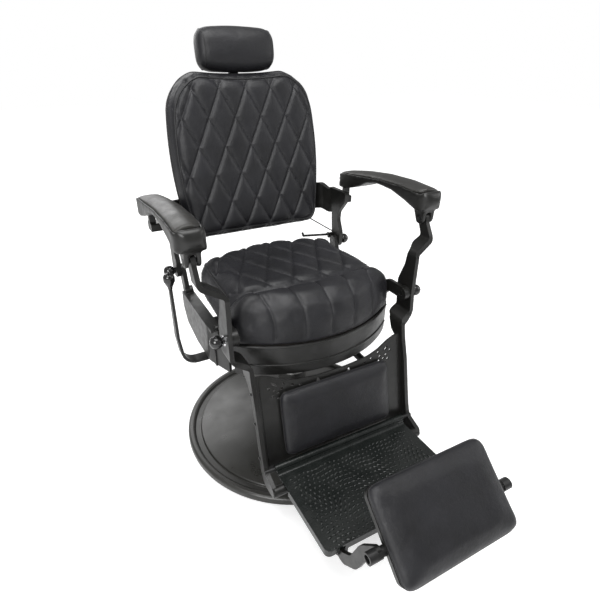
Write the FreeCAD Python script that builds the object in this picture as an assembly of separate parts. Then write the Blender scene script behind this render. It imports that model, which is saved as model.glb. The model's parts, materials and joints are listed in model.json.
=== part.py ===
import FreeCAD, Part
import math
import os

V = FreeCAD.Vector

# Hydraulic barber chair, in millimetres. +X is the sitter's left, the sitter faces -Y, +Z is up.
# The origin is on the pump's axis at the floor. The pump lever is on the sitter's right, at -X.

# Base: a round cast disc on a rubber ring
BASE_R = 360.0
BASE_BEAD_W = 23.0
BASE_BEAD_TOP = 27.0
BASE_GROOVE_W = 21.0
BASE_GROOVE_Z = 17.0
BASE_DOME_EDGE_Z = 24.0
BASE_DOME_TOP = 52.0
BASE_BOSS_R = 104.0
BASE_BOSS_TOP = 58.0
BASE_WALL = 9.0
FOOT_RING_W = 20.0
FOOT_RING_H = 8.0

# Pump: cylinder, ram and the hub that swivels on the ram
CYL_R = 47.0
CYL_BORE_R = 38.0
CYL_TOP = 240.0
CYL_FLANGE_R = 96.0
CYL_FLANGE_T = 10.0
CYL_FLOOR_T = 12.0
GLAND_H = 12.0
GLAND_SPIGOT = 18.0
RAM_R = 25.0
RAM_FIT = 0.05
PISTON_H = 30.0
PISTON_FIT = 0.1
RAM_SHOWN = 90.0
LIFT_DOWN = 80.0
LIFT_UP = 70.0
COLLAR_R = 40.0
COLLAR_H = 7.0
COLLAR_GAP = 0.3
BEARING_H = 4.0
HUB_R = 55.0
HUB_H = 22.0
TURRET_L = 240.0
TURRET_T = 10.0
TURRET_BOLT_R = 6.0
TURRET_BOLT_X = 106.0

# Widths that the rest is set out from
SEAT_HALF_W = 246.0
SEAT_SIDE_GAP = 10.0
SIDE_IN = SEAT_HALF_W + SEAT_SIDE_GAP

# Seat frame
RAIL_W = 40.0
RAIL_H = 50.0
RAIL_WALL = 4.0
RAIL_FRONT_Y = -62.0
RAIL_REAR_Y = 78.0
SLEEPER_W = 40.0
SLEEPER_X = 150.0
SIDE_OUT = SIDE_IN + 33.0
SIDE_WALL = 8.0
SIDE_TOP = 500.0
SIDE_BOTTOM = 388.0
SIDE_REAR_Y = 186.0
SIDE_FRONT_Y = -50.0
SIDE_WEB_T = 6.0
SCREW_X = SIDE_IN + 9.0
SCREW_R = 4.0
EAR_IN = SIDE_IN + 12.0
EAR_OUT = EAR_IN + 13.5
EAR_W = 34.0
FRONT_BOSS_IN = SIDE_IN
FRONT_BOSS_R = 21.0

# Apron and seat board share one front arc, about a vertical axis behind the seat's front
FRONT_ARC_R = 386.0
FRONT_ARC_Y = 154.0
APRON_HALF_W = SEAT_HALF_W + 3.0
APRON_WALL = 3.0
APRON_BOTTOM = 390.0
APRON_TOP = 481.0
BEAD_R = 3.0
BEAD_LOW_Z = 420.0
BEAD_HIGH_Z = 477.0
BOARD_T = 12.0

# Seat cushion
SEAT_REAR_HALF_W = SEAT_HALF_W - 13.0
SEAT_SIDE_BULGE = 5.0
SEAT_REAR_CORNER_Y = 186.0
SEAT_REAR_MID_Y = 240.0
SEAT_TOP = 600.0
SEAT_SEAM_Y = -108.0
CHANNEL_PITCH = 100.0
CHANNEL_DEPTH = 7.0
QUILT_HALF_W = 41.5
QUILT_ROW = 80.0
QUILT_DEPTH = 4.0
QUILT_GROOVE_W = 9.0

# Linkage: the seat, the back, the arm and the leg lever form a parallelogram on each side
FRONT_PIVOT = (-192.0, 536.0)
REAR_PIVOT = (204.0, 566.0)
LINK = (35.0, 206.0)
PIN_R = 6.0
PIN_FIT = 0.08
LOOSE_FIT = 0.5
SIDE_PLAY = 0.3
KNOB_R = 17.0
WASHER_R = 14.0

# Leg lever: one flat bar that steps out beside the seat and again below the arm
LEVER_T = 12.0
ARM_MID_X = SIDE_OUT + 49.0
LEVER_SEAT_X = SIDE_IN + 25.0
LEVER_LEG_X = SEAT_HALF_W - 6.0
STEP_HIGH_Z = (688.0, 658.0)
STEP_LOW_Z = (482.0, 462.0)
TOE = (-358.0, 144.0)
TOE_R = 14.0
STOP_FIT = 0.1

# Back: its face leans back, and its parts are modelled in the face's own frame
BACK_FACE = (216.0, 587.0)
BACK_LEAN = 10.6
BACK_HALF_W = SEAT_HALF_W - 3.0
BACK_BOTTOM = 60.0
BACK_TOP = 532.0
BACK_TOP_DIP = 8.0
BACK_CUSHION_T = 58.0
BACK_BOARD_T = 12.0
BACK_COVER_T = 8.0
WING_T = 12.0
WING_LOW = 84.0
WING_HIGH = 176.0
POST_X = (EAR_OUT + 1.5, EAR_OUT + 15.5)
HEAD_T = 18.0
HEAD_R = 9.5
RELEASE_ROD_R = 4.0
RELEASE_PIVOT = (POST_X[0] - 11.0, 578.0)
RELEASE_PIN_R = 3.0
RELEASE_LUG_Y = (223.0, 230.0)
RELEASE_EYE_T = 10.0
STAY_R = 2.0

# Headrest
HEADREST_HALF_W = 118.0
HEADREST_H = 112.0
HEADREST_D = 84.0
HEADREST_MID = (585.0, -53.0)
HEADPOST_W = 30.0
HEADPOST_T = 8.0
HEADPOST_LOW = 330.0
GUIDE_LOW = 395.0
GUIDE_HIGH = 470.0
GUIDE_WALL = 4.0
SLIDE_FIT = 0.1

# Arms
ARM_HALF_W = 37.0
ARM_REAR_Y = 253.0
ARM_REAR_TAPER = 5.0
ARM_NOSE_Y = -192.0
ARM_PAD_FRONT_Y = -166.0
ARM_CHANNEL_HALF_W = 13.0
FORK_HALF_W = 20.0
FORK_GAP = 9.0

# Calf panel: a sheet between the leg bars, leaning in its own frame
PANEL_FOOT = (-296.0, 158.0)
PANEL_LEAN = 12.9
PANEL_T = 5.0
PANEL_TOP = 279.0
PANEL_SCREWS_UP = (45.0, 150.0, 235.0)
PANEL_SCREW_R = 1.6
CALF_HALF_W = 175.0
CALF_LOW = 28.0
CALF_HIGH = 217.0
CALF_T = 27.0

# Footplate
FOOT_HINGE = (-313.0, 175.0)
FOOT_HALF_W = LEVER_LEG_X - 27.0
FOOT_FRONT_Y = -575.0
FOOT_TOP = 164.0
FOOT_T = 6.0
FOOT_RIM = 20.0
FOOT_RIM_T = 6.0
FOOT_BARREL_R = 10.0

# Flip pad on its swing arms
SWING_HINGE = (-562.0, 132.0)
SWING_X = (165.0, 175.0)
SWING_W = 30.0
ROD = (-686.0, 288.0)
ROD_R = 11.0
ROD_END_R = 13.5
ROD_HALF_L = 197.0
PAD_LEAN = 42.2
PAD_MID = (-676.5, 308.5)
PAD_HALF_W = 160.0
PAD_HALF_L = 103.0
PAD_TRAY = (-14.0, 5.5)
PAD_CUSHION_T = 23.0

# Pump lever
LEVER_PIVOT = (-95.0, 350.0)
LEVER_Y = 30.0
LEVER_BAR_T = 8.0
LEVER_BAR_W = 34.0
LEVER_OUT_X = -SIDE_OUT - 54.0
LEVER_TOP = (LEVER_OUT_X - 12.0, 590.0)
LEVER_KNOB_R = 15.5

# Lock strut between the seat frame and the calf panel
STRUT_X = 165.0
STRUT_SEAT = (60.0, 322.0)
STRUT_LEG = (-240.0, 305.0)
STRUT_TUBE_R = 11.5
STRUT_BORE_R = 9.0
STRUT_ROD_R = 4.0
STRUT_TUBE_L = 245.0
STRUT_ROD_L = 230.0
STRUT_EYE_R = 12.0


def box(x0, x1, y0, y1, z0, z1):
    return Part.makeBox(abs(x1 - x0), abs(y1 - y0), abs(z1 - z0), V(min(x0, x1), min(y0, y1), min(z0, z1)))


def rod_x(x0, x1, yz, r):
    return Part.makeCylinder(r, abs(x1 - x0), V(min(x0, x1), yz[0], yz[1]), V(1, 0, 0))


def rod_y(y0, y1, xz, r):
    return Part.makeCylinder(r, y1 - y0, V(xz[0], y0, xz[1]), V(0, 1, 0))


def rod_z(z0, z1, r, xy=(0, 0)):
    return Part.makeCylinder(r, z1 - z0, V(xy[0], xy[1], z0), V(0, 0, 1))


def rod_between(p, q, r):
    return Part.makeCylinder(r, (q - p).Length, p, q - p)


def fuse(*shapes):
    flat = []
    for s in shapes:
        flat += s if isinstance(s, list) else [s]
    return flat[0].multiFuse(flat[1:]).removeSplitter() if len(flat) > 1 else flat[0]


def group(*shapes):
    return Part.makeCompound([s for s in shapes])


def mirrored(shape):
    return shape.mirror(V(0, 0, 0), V(1, 0, 0))


def both_sides(shape):
    return group(shape, mirrored(shape))


def rounded_wire(corners, place):
    """Closed wire through corners (u, v) or (u, v, radius); each radius becomes a tangent arc."""
    n = len(corners)
    ends = []
    for i, c in enumerate(corners):
        p = V(c[0], c[1], 0)
        a = V(*corners[i - 1][:2], 0) - p
        b = V(*corners[(i + 1) % n][:2], 0) - p
        radius = c[2] if len(c) > 2 else 0
        half = a.getAngle(b) / 2
        if radius <= 0 or half > math.pi / 2 - 0.01:
            ends.append((p, None, p))
            continue
        room = 0.49 * min(a.Length, b.Length)
        back = min(radius / math.tan(half), room)
        radius = back * math.tan(half)
        a.normalize()
        b.normalize()
        inward = a + b
        inward.normalize()
        mid = p + inward * (radius / math.sin(half) - radius)
        ends.append((p + a * back, mid, p + b * back))
    edges = []
    for i, (start, mid, end) in enumerate(ends):
        if mid is not None:
            edges.append(Part.Arc(place(start), place(mid), place(end)).toShape())
        nxt = ends[(i + 1) % n][0]
        if (nxt - end).Length > 1e-4:
            edges.append(Part.LineSegment(place(end), place(nxt)).toShape())
    return Part.Wire(edges)


def plate_x(corners, x0, x1):
    """Plate with the (y, z) outline, from x0 to x1."""
    face = Part.Face(rounded_wire(corners, lambda p: V(x0, p.x, p.y)))
    return face.extrude(V(x1 - x0, 0, 0))


def plate_y(corners, y0, y1):
    """Plate with the (x, z) outline, from y0 to y1."""
    face = Part.Face(rounded_wire(corners, lambda p: V(p.x, y0, p.y)))
    return face.extrude(V(0, y1 - y0, 0))


def plate_z(corners, z0, z1):
    """Plate with the (x, y) outline, from z0 to z1."""
    face = Part.Face(rounded_wire(corners, lambda p: V(p.x, p.y, z0)))
    return face.extrude(V(0, 0, z1 - z0))


def lathe(corners, centre=V(0, 0, 0)):
    """Solid of revolution about Z with the (radius, z) outline."""
    face = Part.Face(rounded_wire(corners, lambda p: centre + V(p.x, 0, p.y)))
    return face.revolve(centre, V(0, 0, 1), 360)


def strip(points, width, radius=0):
    """Outline corners of a strip of the given width along a bent line."""
    left, right = [], []
    for i, p in enumerate(points):
        here = V(p[0], p[1], 0)
        back = (here - V(*points[i - 1], 0)).normalize() if i else None
        ahead = (V(*points[i + 1], 0) - here).normalize() if i < len(points) - 1 else None
        run = ahead if back is None else back
        side = V(-run.y, run.x, 0) * (width / 2)
        turn = 0
        if back is not None and ahead is not None:
            mitre = V(-back.y - ahead.y, back.x + ahead.x, 0).normalize()
            side = mitre * (width / 2 / mitre.dot(V(-run.y, run.x, 0)))
            turn = back.cross(ahead).z
        near, far = max(radius - width / 2, 0.5), radius + width / 2
        bent = radius if turn else 0
        left.append((here.x + side.x, here.y + side.y, bent and (near if turn > 0 else far)))
        right.append((here.x - side.x, here.y - side.y, bent and (far if turn > 0 else near)))
    return left + right[::-1]


def link_corners(p, q, width):
    """Outline of a flat link with round ends about two pivots."""
    run = V(q[0] - p[0], q[1] - p[1], 0).normalize() * (width / 2)
    ends = [(p[0] - run.x, p[1] - run.y), (q[0] + run.x, q[1] + run.y)]
    return [c[:2] + (width * 0.49,) for c in strip(ends, width)]


def half_width_arc(radius, half_w):
    return math.sqrt(radius ** 2 - half_w ** 2)


def loft(wires):
    return Part.makeLoft(wires, True, True)


def lean_frame(yz, lean):
    """Frame of a leaning face: local Y runs up the face and local Z points out of its front."""
    return FreeCAD.Placement(V(0, yz[0], yz[1]), FreeCAD.Rotation(V(1, 0, 0), 90 - lean))


def placed(shape, frame):
    out = shape.copy()
    out.Placement = frame.multiply(out.Placement)
    return out


def in_back(shape):
    return placed(shape, lean_frame(BACK_FACE, BACK_LEAN))


def back_point(x, up, out):
    return lean_frame(BACK_FACE, BACK_LEAN).multVec(V(x, up, out))


ARM_PIVOT_FRONT = (FRONT_PIVOT[0] + LINK[0], FRONT_PIVOT[1] + LINK[1])
ARM_PIVOT_REAR = (REAR_PIVOT[0] + LINK[0], REAR_PIVOT[1] + LINK[1])
COLLAR_Z = CYL_TOP + GLAND_H + RAM_SHOWN + COLLAR_GAP
BEARING_Z = COLLAR_Z + COLLAR_H
HUB_Z = BEARING_Z + BEARING_H
TURRET_Z = HUB_Z + HUB_H
RAIL_Z = TURRET_Z + TURRET_T
SLEEPER_Z = RAIL_Z + RAIL_H
BOARD_Z = APRON_TOP - BOARD_T
FLANGE_TOP = BASE_BOSS_TOP + CYL_FLANGE_T
PISTON_Z = CYL_TOP - GLAND_SPIGOT - LIFT_UP - PISTON_H - 4.0


# Base and pump

def base_disc():
    under = BASE_GROOVE_Z - BASE_WALL
    bead_in = BASE_R - BASE_BEAD_W
    dome_r = bead_in - BASE_GROOVE_W
    bore = CYL_R + 1.0
    disc = lathe([(bore, BASE_BOSS_TOP), (BASE_BOSS_R, BASE_BOSS_TOP, 3), (BASE_BOSS_R + 6, BASE_DOME_TOP, 6),
                  (210, BASE_DOME_TOP - 8, 400), (dome_r, BASE_DOME_EDGE_Z, 4),
                  (dome_r + 1, BASE_GROOVE_Z, 1.5),
                  (bead_in - 1, BASE_GROOVE_Z, 2), (bead_in + 2, BASE_BEAD_TOP, 9),
                  (BASE_R, BASE_BEAD_TOP, 14),
                  (BASE_R, 5, 2), (BASE_R - 5, 5), (BASE_R - 5, under), (dome_r - 4, under, 4),
                  (210, BASE_DOME_TOP - 8 - BASE_WALL, 400), (BASE_BOSS_R, BASE_DOME_TOP - BASE_WALL, 6),
                  (bore, BASE_DOME_TOP - BASE_WALL)])
    for x, y in flange_holes():
        disc = disc.cut(rod_z(0, BASE_BOSS_TOP + 1, TURRET_BOLT_R + 0.5, (x, y)))
    return disc


def flange_holes():
    ring = CYL_FLANGE_R - 16
    return [(ring * math.cos(math.radians(a)), ring * math.sin(math.radians(a))) for a in range(30, 390, 60)]


def base_foot_ring():
    outer = BASE_R - 7
    return lathe([(outer - FOOT_RING_W, 0, 2), (outer, 0, 2), (outer, FOOT_RING_H),
                  (outer - FOOT_RING_W, FOOT_RING_H)])


def pump_cylinder():
    floor = PISTON_Z - LIFT_DOWN - CYL_FLOOR_T - 4.0
    body = lathe([(0, floor), (CYL_R, floor, 3), (CYL_R, BASE_BOSS_TOP), (CYL_FLANGE_R, BASE_BOSS_TOP, 1),
                  (CYL_FLANGE_R, FLANGE_TOP, 2), (CYL_R + 14, FLANGE_TOP, 3), (CYL_R, FLANGE_TOP + 20, 12),
                  (CYL_R, CYL_TOP), (CYL_BORE_R, CYL_TOP), (CYL_BORE_R, floor + CYL_FLOOR_T),
                  (0, floor + CYL_FLOOR_T)])
    for x, y in flange_holes():
        body = body.cut(rod_z(BASE_BOSS_TOP - 1, FLANGE_TOP + 1, TURRET_BOLT_R + 0.5, (x, y)))
    return body


def hex_prism(x, y, z0, z1, r):
    corners = [(x + r * math.cos(math.radians(a)), y + r * math.sin(math.radians(a)))
               for a in range(0, 360, 60)]
    return plate_z(corners, z0, z1)


def base_bolts():
    under = BASE_DOME_TOP - BASE_WALL
    bolts = []
    for x, y in flange_holes():
        bolts.append(fuse(hex_prism(x, y, FLANGE_TOP, FLANGE_TOP + 8, 10.5),
                          hex_prism(x, y, under - 9, under, 10.5),
                          rod_z(under - 14, FLANGE_TOP, TURRET_BOLT_R, (x, y))))
    return group(*bolts)


def pump_gland():
    bore = RAM_R + RAM_FIT
    return lathe([(bore, CYL_TOP - GLAND_SPIGOT), (CYL_BORE_R - PISTON_FIT, CYL_TOP - GLAND_SPIGOT),
                  (CYL_BORE_R - PISTON_FIT, CYL_TOP), (CYL_R + 4, CYL_TOP),
                  (CYL_R + 4, CYL_TOP + GLAND_H - 3, 2),
                  (CYL_R - 2, CYL_TOP + GLAND_H, 2), (bore, CYL_TOP + GLAND_H)])


def ram():
    return lathe([(0, PISTON_Z), (CYL_BORE_R - PISTON_FIT, PISTON_Z, 2),
                  (CYL_BORE_R - PISTON_FIT, PISTON_Z + PISTON_H, 2), (RAM_R, PISTON_Z + PISTON_H),
                  (RAM_R, COLLAR_Z),
                  (COLLAR_R, COLLAR_Z, 1.5), (COLLAR_R, BEARING_Z), (RAM_R, BEARING_Z),
                  (RAM_R, TURRET_Z - 3, 2),
                  (0, TURRET_Z - 3)])


def swivel_bearing():
    bore = RAM_R + RAM_FIT
    return lathe([(bore, BEARING_Z), (COLLAR_R + 2, BEARING_Z, 1), (COLLAR_R + 2, HUB_Z, 1), (bore, HUB_Z)])


def turret_holes():
    return [(side * TURRET_BOLT_X, y) for side in (-1, 1) for y in (RAIL_FRONT_Y, RAIL_REAR_Y)]


def seat_turret():
    bore = RAM_R + RAM_FIT
    hub = lathe([(bore, HUB_Z), (HUB_R, HUB_Z, 3), (HUB_R, TURRET_Z), (bore, TURRET_Z)])
    w = TURRET_L / 2
    front, rear = RAIL_FRONT_Y - RAIL_W / 2 - 2, RAIL_REAR_Y + RAIL_W / 2 + 2
    top = plate_z([(-w, front, 16), (w, front, 16), (w, rear, 16), (-w, rear, 16)], TURRET_Z, RAIL_Z)
    plate = fuse(hub, top)
    for x, y in turret_holes():
        plate = plate.cut(rod_z(TURRET_Z - 1, RAIL_Z + 1, TURRET_BOLT_R + 0.5, (x, y)))
    return plate


def turret_bolts():
    bolts = []
    for x, y in turret_holes():
        bolts.append(fuse(hex_prism(x, y, TURRET_Z - 7, TURRET_Z, 10),
                          rod_z(TURRET_Z, RAIL_Z + RAIL_WALL, TURRET_BOLT_R, (x, y)),
                          hex_prism(x, y, RAIL_Z + RAIL_WALL, RAIL_Z + RAIL_WALL + 9, 10)))
    return group(*bolts)


# Seat frame

def cross_rail(y):
    end = SIDE_OUT - SIDE_WALL
    outer = box(-end, end, y - RAIL_W / 2, y + RAIL_W / 2, RAIL_Z, SLEEPER_Z)
    inner = box(-end, end, y - RAIL_W / 2 + RAIL_WALL, y + RAIL_W / 2 - RAIL_WALL, RAIL_Z + RAIL_WALL,
                SLEEPER_Z - RAIL_WALL)
    rail = outer.cut(inner)
    for x, hole_y in turret_holes():
        if hole_y == y:
            rail = rail.cut(rod_z(RAIL_Z - 1, RAIL_Z + RAIL_WALL + 1, TURRET_BOLT_R + 0.5, (x, y)))
    return rail.cut([screw_hole(x, y) for x in (-SCREW_X, SCREW_X)])


def screw_hole(x, y):
    return rod_z(SLEEPER_Z - RAIL_WALL - 1, SLEEPER_Z + 10, SCREW_R, (x, y))


def frame_screws():
    """Screws that hold the side castings' inner webs down on the cross rails."""
    screws = []
    for x in (-SCREW_X, SCREW_X):
        for y in (RAIL_FRONT_Y, RAIL_REAR_Y):
            head_z = SLEEPER_Z + SIDE_WEB_T
            screws.append(fuse(rod_z(SLEEPER_Z - RAIL_WALL - 5, head_z, SCREW_R, (x, y)),
                               rod_z(head_z, head_z + 5, SCREW_R + 4, (x, y))))
    return group(*screws)


def strut_seat_bracket():
    """Lug pair under the rear cross rail that holds the strut's seat pin."""
    y, z = STRUT_SEAT
    eye = STRUT_EYE_R + 1
    pad_z = RAIL_Z - 5
    front, rear = RAIL_REAR_Y - RAIL_W / 2, RAIL_REAR_Y + RAIL_W / 2
    corners = [(front, pad_z + 1), (y - eye, z - eye, eye), (y + eye, z - eye, eye), (rear, pad_z + 1)]
    lugs = [plate_x(corners, STRUT_X + side * 8 - 3, STRUT_X + side * 8 + 3) for side in (-1, 1)]
    pad = box(STRUT_X - 14, STRUT_X + 14, front, rear, pad_z, RAIL_Z)
    return fuse(pad, *lugs).cut(rod_x(STRUT_X - 20, STRUT_X + 20, STRUT_SEAT, PIN_R))


def seat_sleepers():
    """Two lengthwise rails that carry the seat board on the cross rails."""
    front, rear = RAIL_FRONT_Y - 80, RAIL_REAR_Y + 90
    rail = box(SLEEPER_X - SLEEPER_W / 2, SLEEPER_X + SLEEPER_W / 2, front, rear, SLEEPER_Z, BOARD_Z)
    hollow = box(SLEEPER_X - SLEEPER_W / 2 + RAIL_WALL, SLEEPER_X + SLEEPER_W / 2 - RAIL_WALL, front, rear,
                 SLEEPER_Z + RAIL_WALL, BOARD_Z - RAIL_WALL)
    return both_sides(rail.cut(hollow))


def side_casting():
    """Left side of the seat frame: a shelf, a skirt that wraps to the apron, a rear ear and a front boss."""
    wall_mid = SIDE_OUT - SIDE_WALL / 2
    plan = strip([(wall_mid, SIDE_REAR_Y), (wall_mid, SIDE_FRONT_Y), (256, -129)], SIDE_WALL, 50)
    skirt = plate_z(plan, SIDE_BOTTOM, SIDE_TOP)
    profile = [(SIDE_FRONT_Y - 110, SIDE_BOTTOM), (64, SIDE_BOTTOM, 40), (156, SIDE_BOTTOM + 20, 30),
               (SIDE_REAR_Y, SIDE_TOP - 50, 30), (SIDE_REAR_Y, SIDE_TOP), (-90, SIDE_TOP, 6),
               (-104, APRON_TOP, 6), (SIDE_FRONT_Y - 110, APRON_TOP)]
    skirt = skirt.common(plate_x(profile, SIDE_IN - 40, SIDE_OUT + 1))
    shelf = box(SIDE_IN, SIDE_OUT - 2, -88, SIDE_REAR_Y, SIDE_TOP - 8, SIDE_TOP)
    shelf = shelf.cut(plate_z([(SIDE_OUT - 2, -120), (SIDE_OUT - 2, -64, 30), (SIDE_OUT - 18, -100)], 0,
                              SIDE_TOP + 1))
    stop_boss = rod_x(SIDE_IN + 4, SIDE_OUT - 14, (-78, SIDE_TOP + 3), 9)
    ear = plate_x(link_corners((SIDE_REAR_Y - 12, SIDE_TOP - 18), REAR_PIVOT, EAR_W), EAR_IN, EAR_OUT)
    rear_lug = rod_x(SIDE_IN + 2, EAR_OUT + 1, (SIDE_REAR_Y - 8, SIDE_TOP + 2), 15)
    run = [(FRONT_PIVOT[0], FRONT_PIVOT[1] + 3), (-128, FRONT_PIVOT[1] + 3), (-84, SIDE_TOP - 12)]
    arm = plate_x(strip(run, 2 * FRONT_BOSS_R - 6, 30), FRONT_BOSS_IN + 1, FRONT_BOSS_IN + 11)
    boss = rod_x(FRONT_BOSS_IN, LEVER_SEAT_X - LEVER_T / 2 - 0.5, FRONT_PIVOT, FRONT_BOSS_R)
    web = box(SIDE_IN, SIDE_OUT - SIDE_WALL + 1, RAIL_FRONT_Y - 20, RAIL_REAR_Y + 20, SLEEPER_Z,
              SLEEPER_Z + SIDE_WEB_T)
    casting = fuse(skirt, shelf, stop_boss, ear, rear_lug, arm, boss, web)
    casting = casting.cut([screw_hole(SCREW_X, y) for y in (RAIL_FRONT_Y, RAIL_REAR_Y)])
    casting = casting.cut(rod_x(FRONT_BOSS_IN - 1, SIDE_OUT, FRONT_PIVOT, PIN_R))
    return casting.cut(rod_x(EAR_IN - 1, EAR_OUT + 2, REAR_PIVOT, PIN_R))


def seat_apron():
    """Bowed front band with two half-round beads, turned about the front arc's axis."""
    inner = FRONT_ARC_R - APRON_WALL
    profile = [(inner, APRON_BOTTOM), (FRONT_ARC_R, APRON_BOTTOM, 1)]
    for z in (BEAD_LOW_Z, BEAD_HIGH_Z):
        profile += [(FRONT_ARC_R, z - BEAD_R), (FRONT_ARC_R + BEAD_R, z - BEAD_R, BEAD_R * 0.9),
                    (FRONT_ARC_R + BEAD_R, z + BEAD_R, BEAD_R * 0.9), (FRONT_ARC_R, z + BEAD_R)]
    profile += [(FRONT_ARC_R, APRON_TOP), (inner, APRON_TOP)]
    spread = math.degrees(math.asin(APRON_HALF_W / FRONT_ARC_R))
    start = -90 - spread
    centre = V(0, FRONT_ARC_Y, 0)
    toward = V(math.cos(math.radians(start)), math.sin(math.radians(start)), 0)
    face = Part.Face(rounded_wire(profile, lambda p: centre + toward * p.x + V(0, 0, p.y)))
    return face.revolve(centre, V(0, 0, 1), 2 * spread)


def seat_outline(z, inset, bulge=0):
    """Seat plan outline at one level: bowed front, slightly tapered sides, bowed rear edge."""
    half = SEAT_HALF_W - inset + bulge
    rear_half = SEAT_REAR_HALF_W - inset + bulge
    arc_r = FRONT_ARC_R + 2 - inset
    corner = 26.0
    front_end = half - corner

    def front_y(x):
        return FRONT_ARC_Y - half_width_arc(arc_r, x)

    def at(x, y):
        return V(x, y, z)

    side_y = front_y(front_end) + corner * 1.3
    rear_y = SEAT_REAR_CORNER_Y - inset
    rear_x = rear_half - 34
    rear_corner_y = rear_y - 34
    rear_mid_y = SEAT_REAR_MID_Y - inset
    right = [Part.Arc(at(front_end, front_y(front_end)),
                      at(half - corner * 0.2, front_y(front_end) + corner * 0.42), at(half, side_y)),
             Part.LineSegment(at(half, side_y), at(rear_half, rear_corner_y)),
             Part.Arc(at(rear_half, rear_corner_y), at(rear_half - 9, rear_y - 3), at(rear_x, rear_y + 10))]
    left = [Part.Arc(at(-rear_x, rear_y + 10), at(9 - rear_half, rear_y - 3), at(-rear_half, rear_corner_y)),
            Part.LineSegment(at(-rear_half, rear_corner_y), at(-half, side_y)),
            Part.Arc(at(-half, side_y), at(corner * 0.2 - half, front_y(front_end) + corner * 0.42),
                     at(-front_end, front_y(front_end)))]
    rear = [Part.Arc(at(rear_x, rear_y + 10), at(0, rear_mid_y), at(-rear_x, rear_y + 10))]
    front = [Part.Arc(at(-front_end, front_y(front_end)), at(0, front_y(0)),
                      at(front_end, front_y(front_end)))]
    return Part.Wire([c.toShape() for c in front + right + rear + left])


def seat_board():
    return Part.Face(seat_outline(BOARD_Z, APRON_WALL + 7)).extrude(V(0, 0, BOARD_T))


def quilt_grooves(x_range, v_range, level, origin_v, half_w, row):
    """Two sets of straight V grooves that cross in diamonds on a flat face at the given level."""
    slope = half_w / row
    reach = (v_range[1] - v_range[0]) * slope
    turns = int((x_range + reach) / (2 * half_w)) + 2
    grooves = []
    for sign in (-1, 1):
        for k in range(-turns, turns + 1):
            def x_at(v):
                return 2 * half_w * k + sign * slope * (v - origin_v)

            p, q = V(x_at(v_range[0]), v_range[0], level), V(x_at(v_range[1]), v_range[1], level)
            if min(p.x, q.x) > x_range or max(p.x, q.x) < -x_range:
                continue
            along = (q - p).normalize()
            across = along.cross(V(0, 0, 1)) * (QUILT_GROOVE_W / 2)
            deep = V(0, 0, -QUILT_DEPTH)
            rise = V(0, 0, 1)
            wire = Part.makePolygon([p - across + rise, p + deep, p + across + rise, p - across + rise])
            grooves.append(Part.Face(wire).extrude(q - p))
    return grooves


def seat_cushion():
    """Quilted seat with a plain roll along its front, cut in channels that are drawn in at their seams."""
    base = BOARD_Z + BOARD_T
    levels = [(base, 3, 0), (base + 24, 0, 0), (SEAT_TOP - 42, 1, SEAT_SIDE_BULGE),
              (SEAT_TOP - 26, 2, SEAT_SIDE_BULGE * 0.6), (SEAT_TOP - 11, 9, 0), (SEAT_TOP, 28, 0)]
    cushion = loft([seat_outline(*level) for level in levels])
    core = loft([seat_outline(z, inset + CHANNEL_DEPTH, bulge) for z, inset, bulge in levels[1:-1]])
    seam_reach = SEAT_SEAM_Y + 400
    for k in (-1.5, -0.5, 0.5, 1.5):
        x = k * CHANNEL_PITCH
        slab = box(x - 2, x + 2, SEAT_SEAM_Y - seam_reach, SEAT_SEAM_Y - 4, base + 6, SEAT_TOP + 1)
        cushion = cushion.cut(slab.cut(core))
    seam = plate_x([(SEAT_SEAM_Y - 13, SEAT_TOP + 1), (SEAT_SEAM_Y, SEAT_TOP - 12),
                    (SEAT_SEAM_Y + 9, SEAT_TOP + 1)],
                   -SEAT_HALF_W - 10, SEAT_HALF_W + 10)
    grooves = quilt_grooves(SEAT_HALF_W - 26, (SEAT_SEAM_Y + 10, SEAT_REAR_MID_Y), SEAT_TOP, 0,
                            QUILT_HALF_W, QUILT_ROW)
    return cushion.cut([seam] + grooves)


# Pivots of the linkage

def ball_pin(x_in, x_out, yz):
    """Pivot pin with a ball knob on its outer end."""
    return fuse(rod_x(x_in, x_out + 4, yz, PIN_R), rod_x(x_out, x_out + 5, yz, 9),
                Part.makeSphere(KNOB_R, V(x_out + 4 + KNOB_R * 0.85, yz[0], yz[1])))


def rear_ball_pins():
    return both_sides(ball_pin(EAR_IN, POST_X[1] + 0.3, REAR_PIVOT))


def front_ball_pins():
    outer = LEVER_SEAT_X + LEVER_T / 2 + 3.3
    return both_sides(ball_pin(FRONT_BOSS_IN, outer, FRONT_PIVOT))


def front_washers():
    inner = LEVER_SEAT_X + LEVER_T / 2 + 0.3
    ring = rod_x(inner, inner + 3, FRONT_PIVOT, WASHER_R).cut(rod_x(inner - 1, inner + 4, FRONT_PIVOT, PIN_R))
    return both_sides(ring)


# Leg lever

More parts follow.
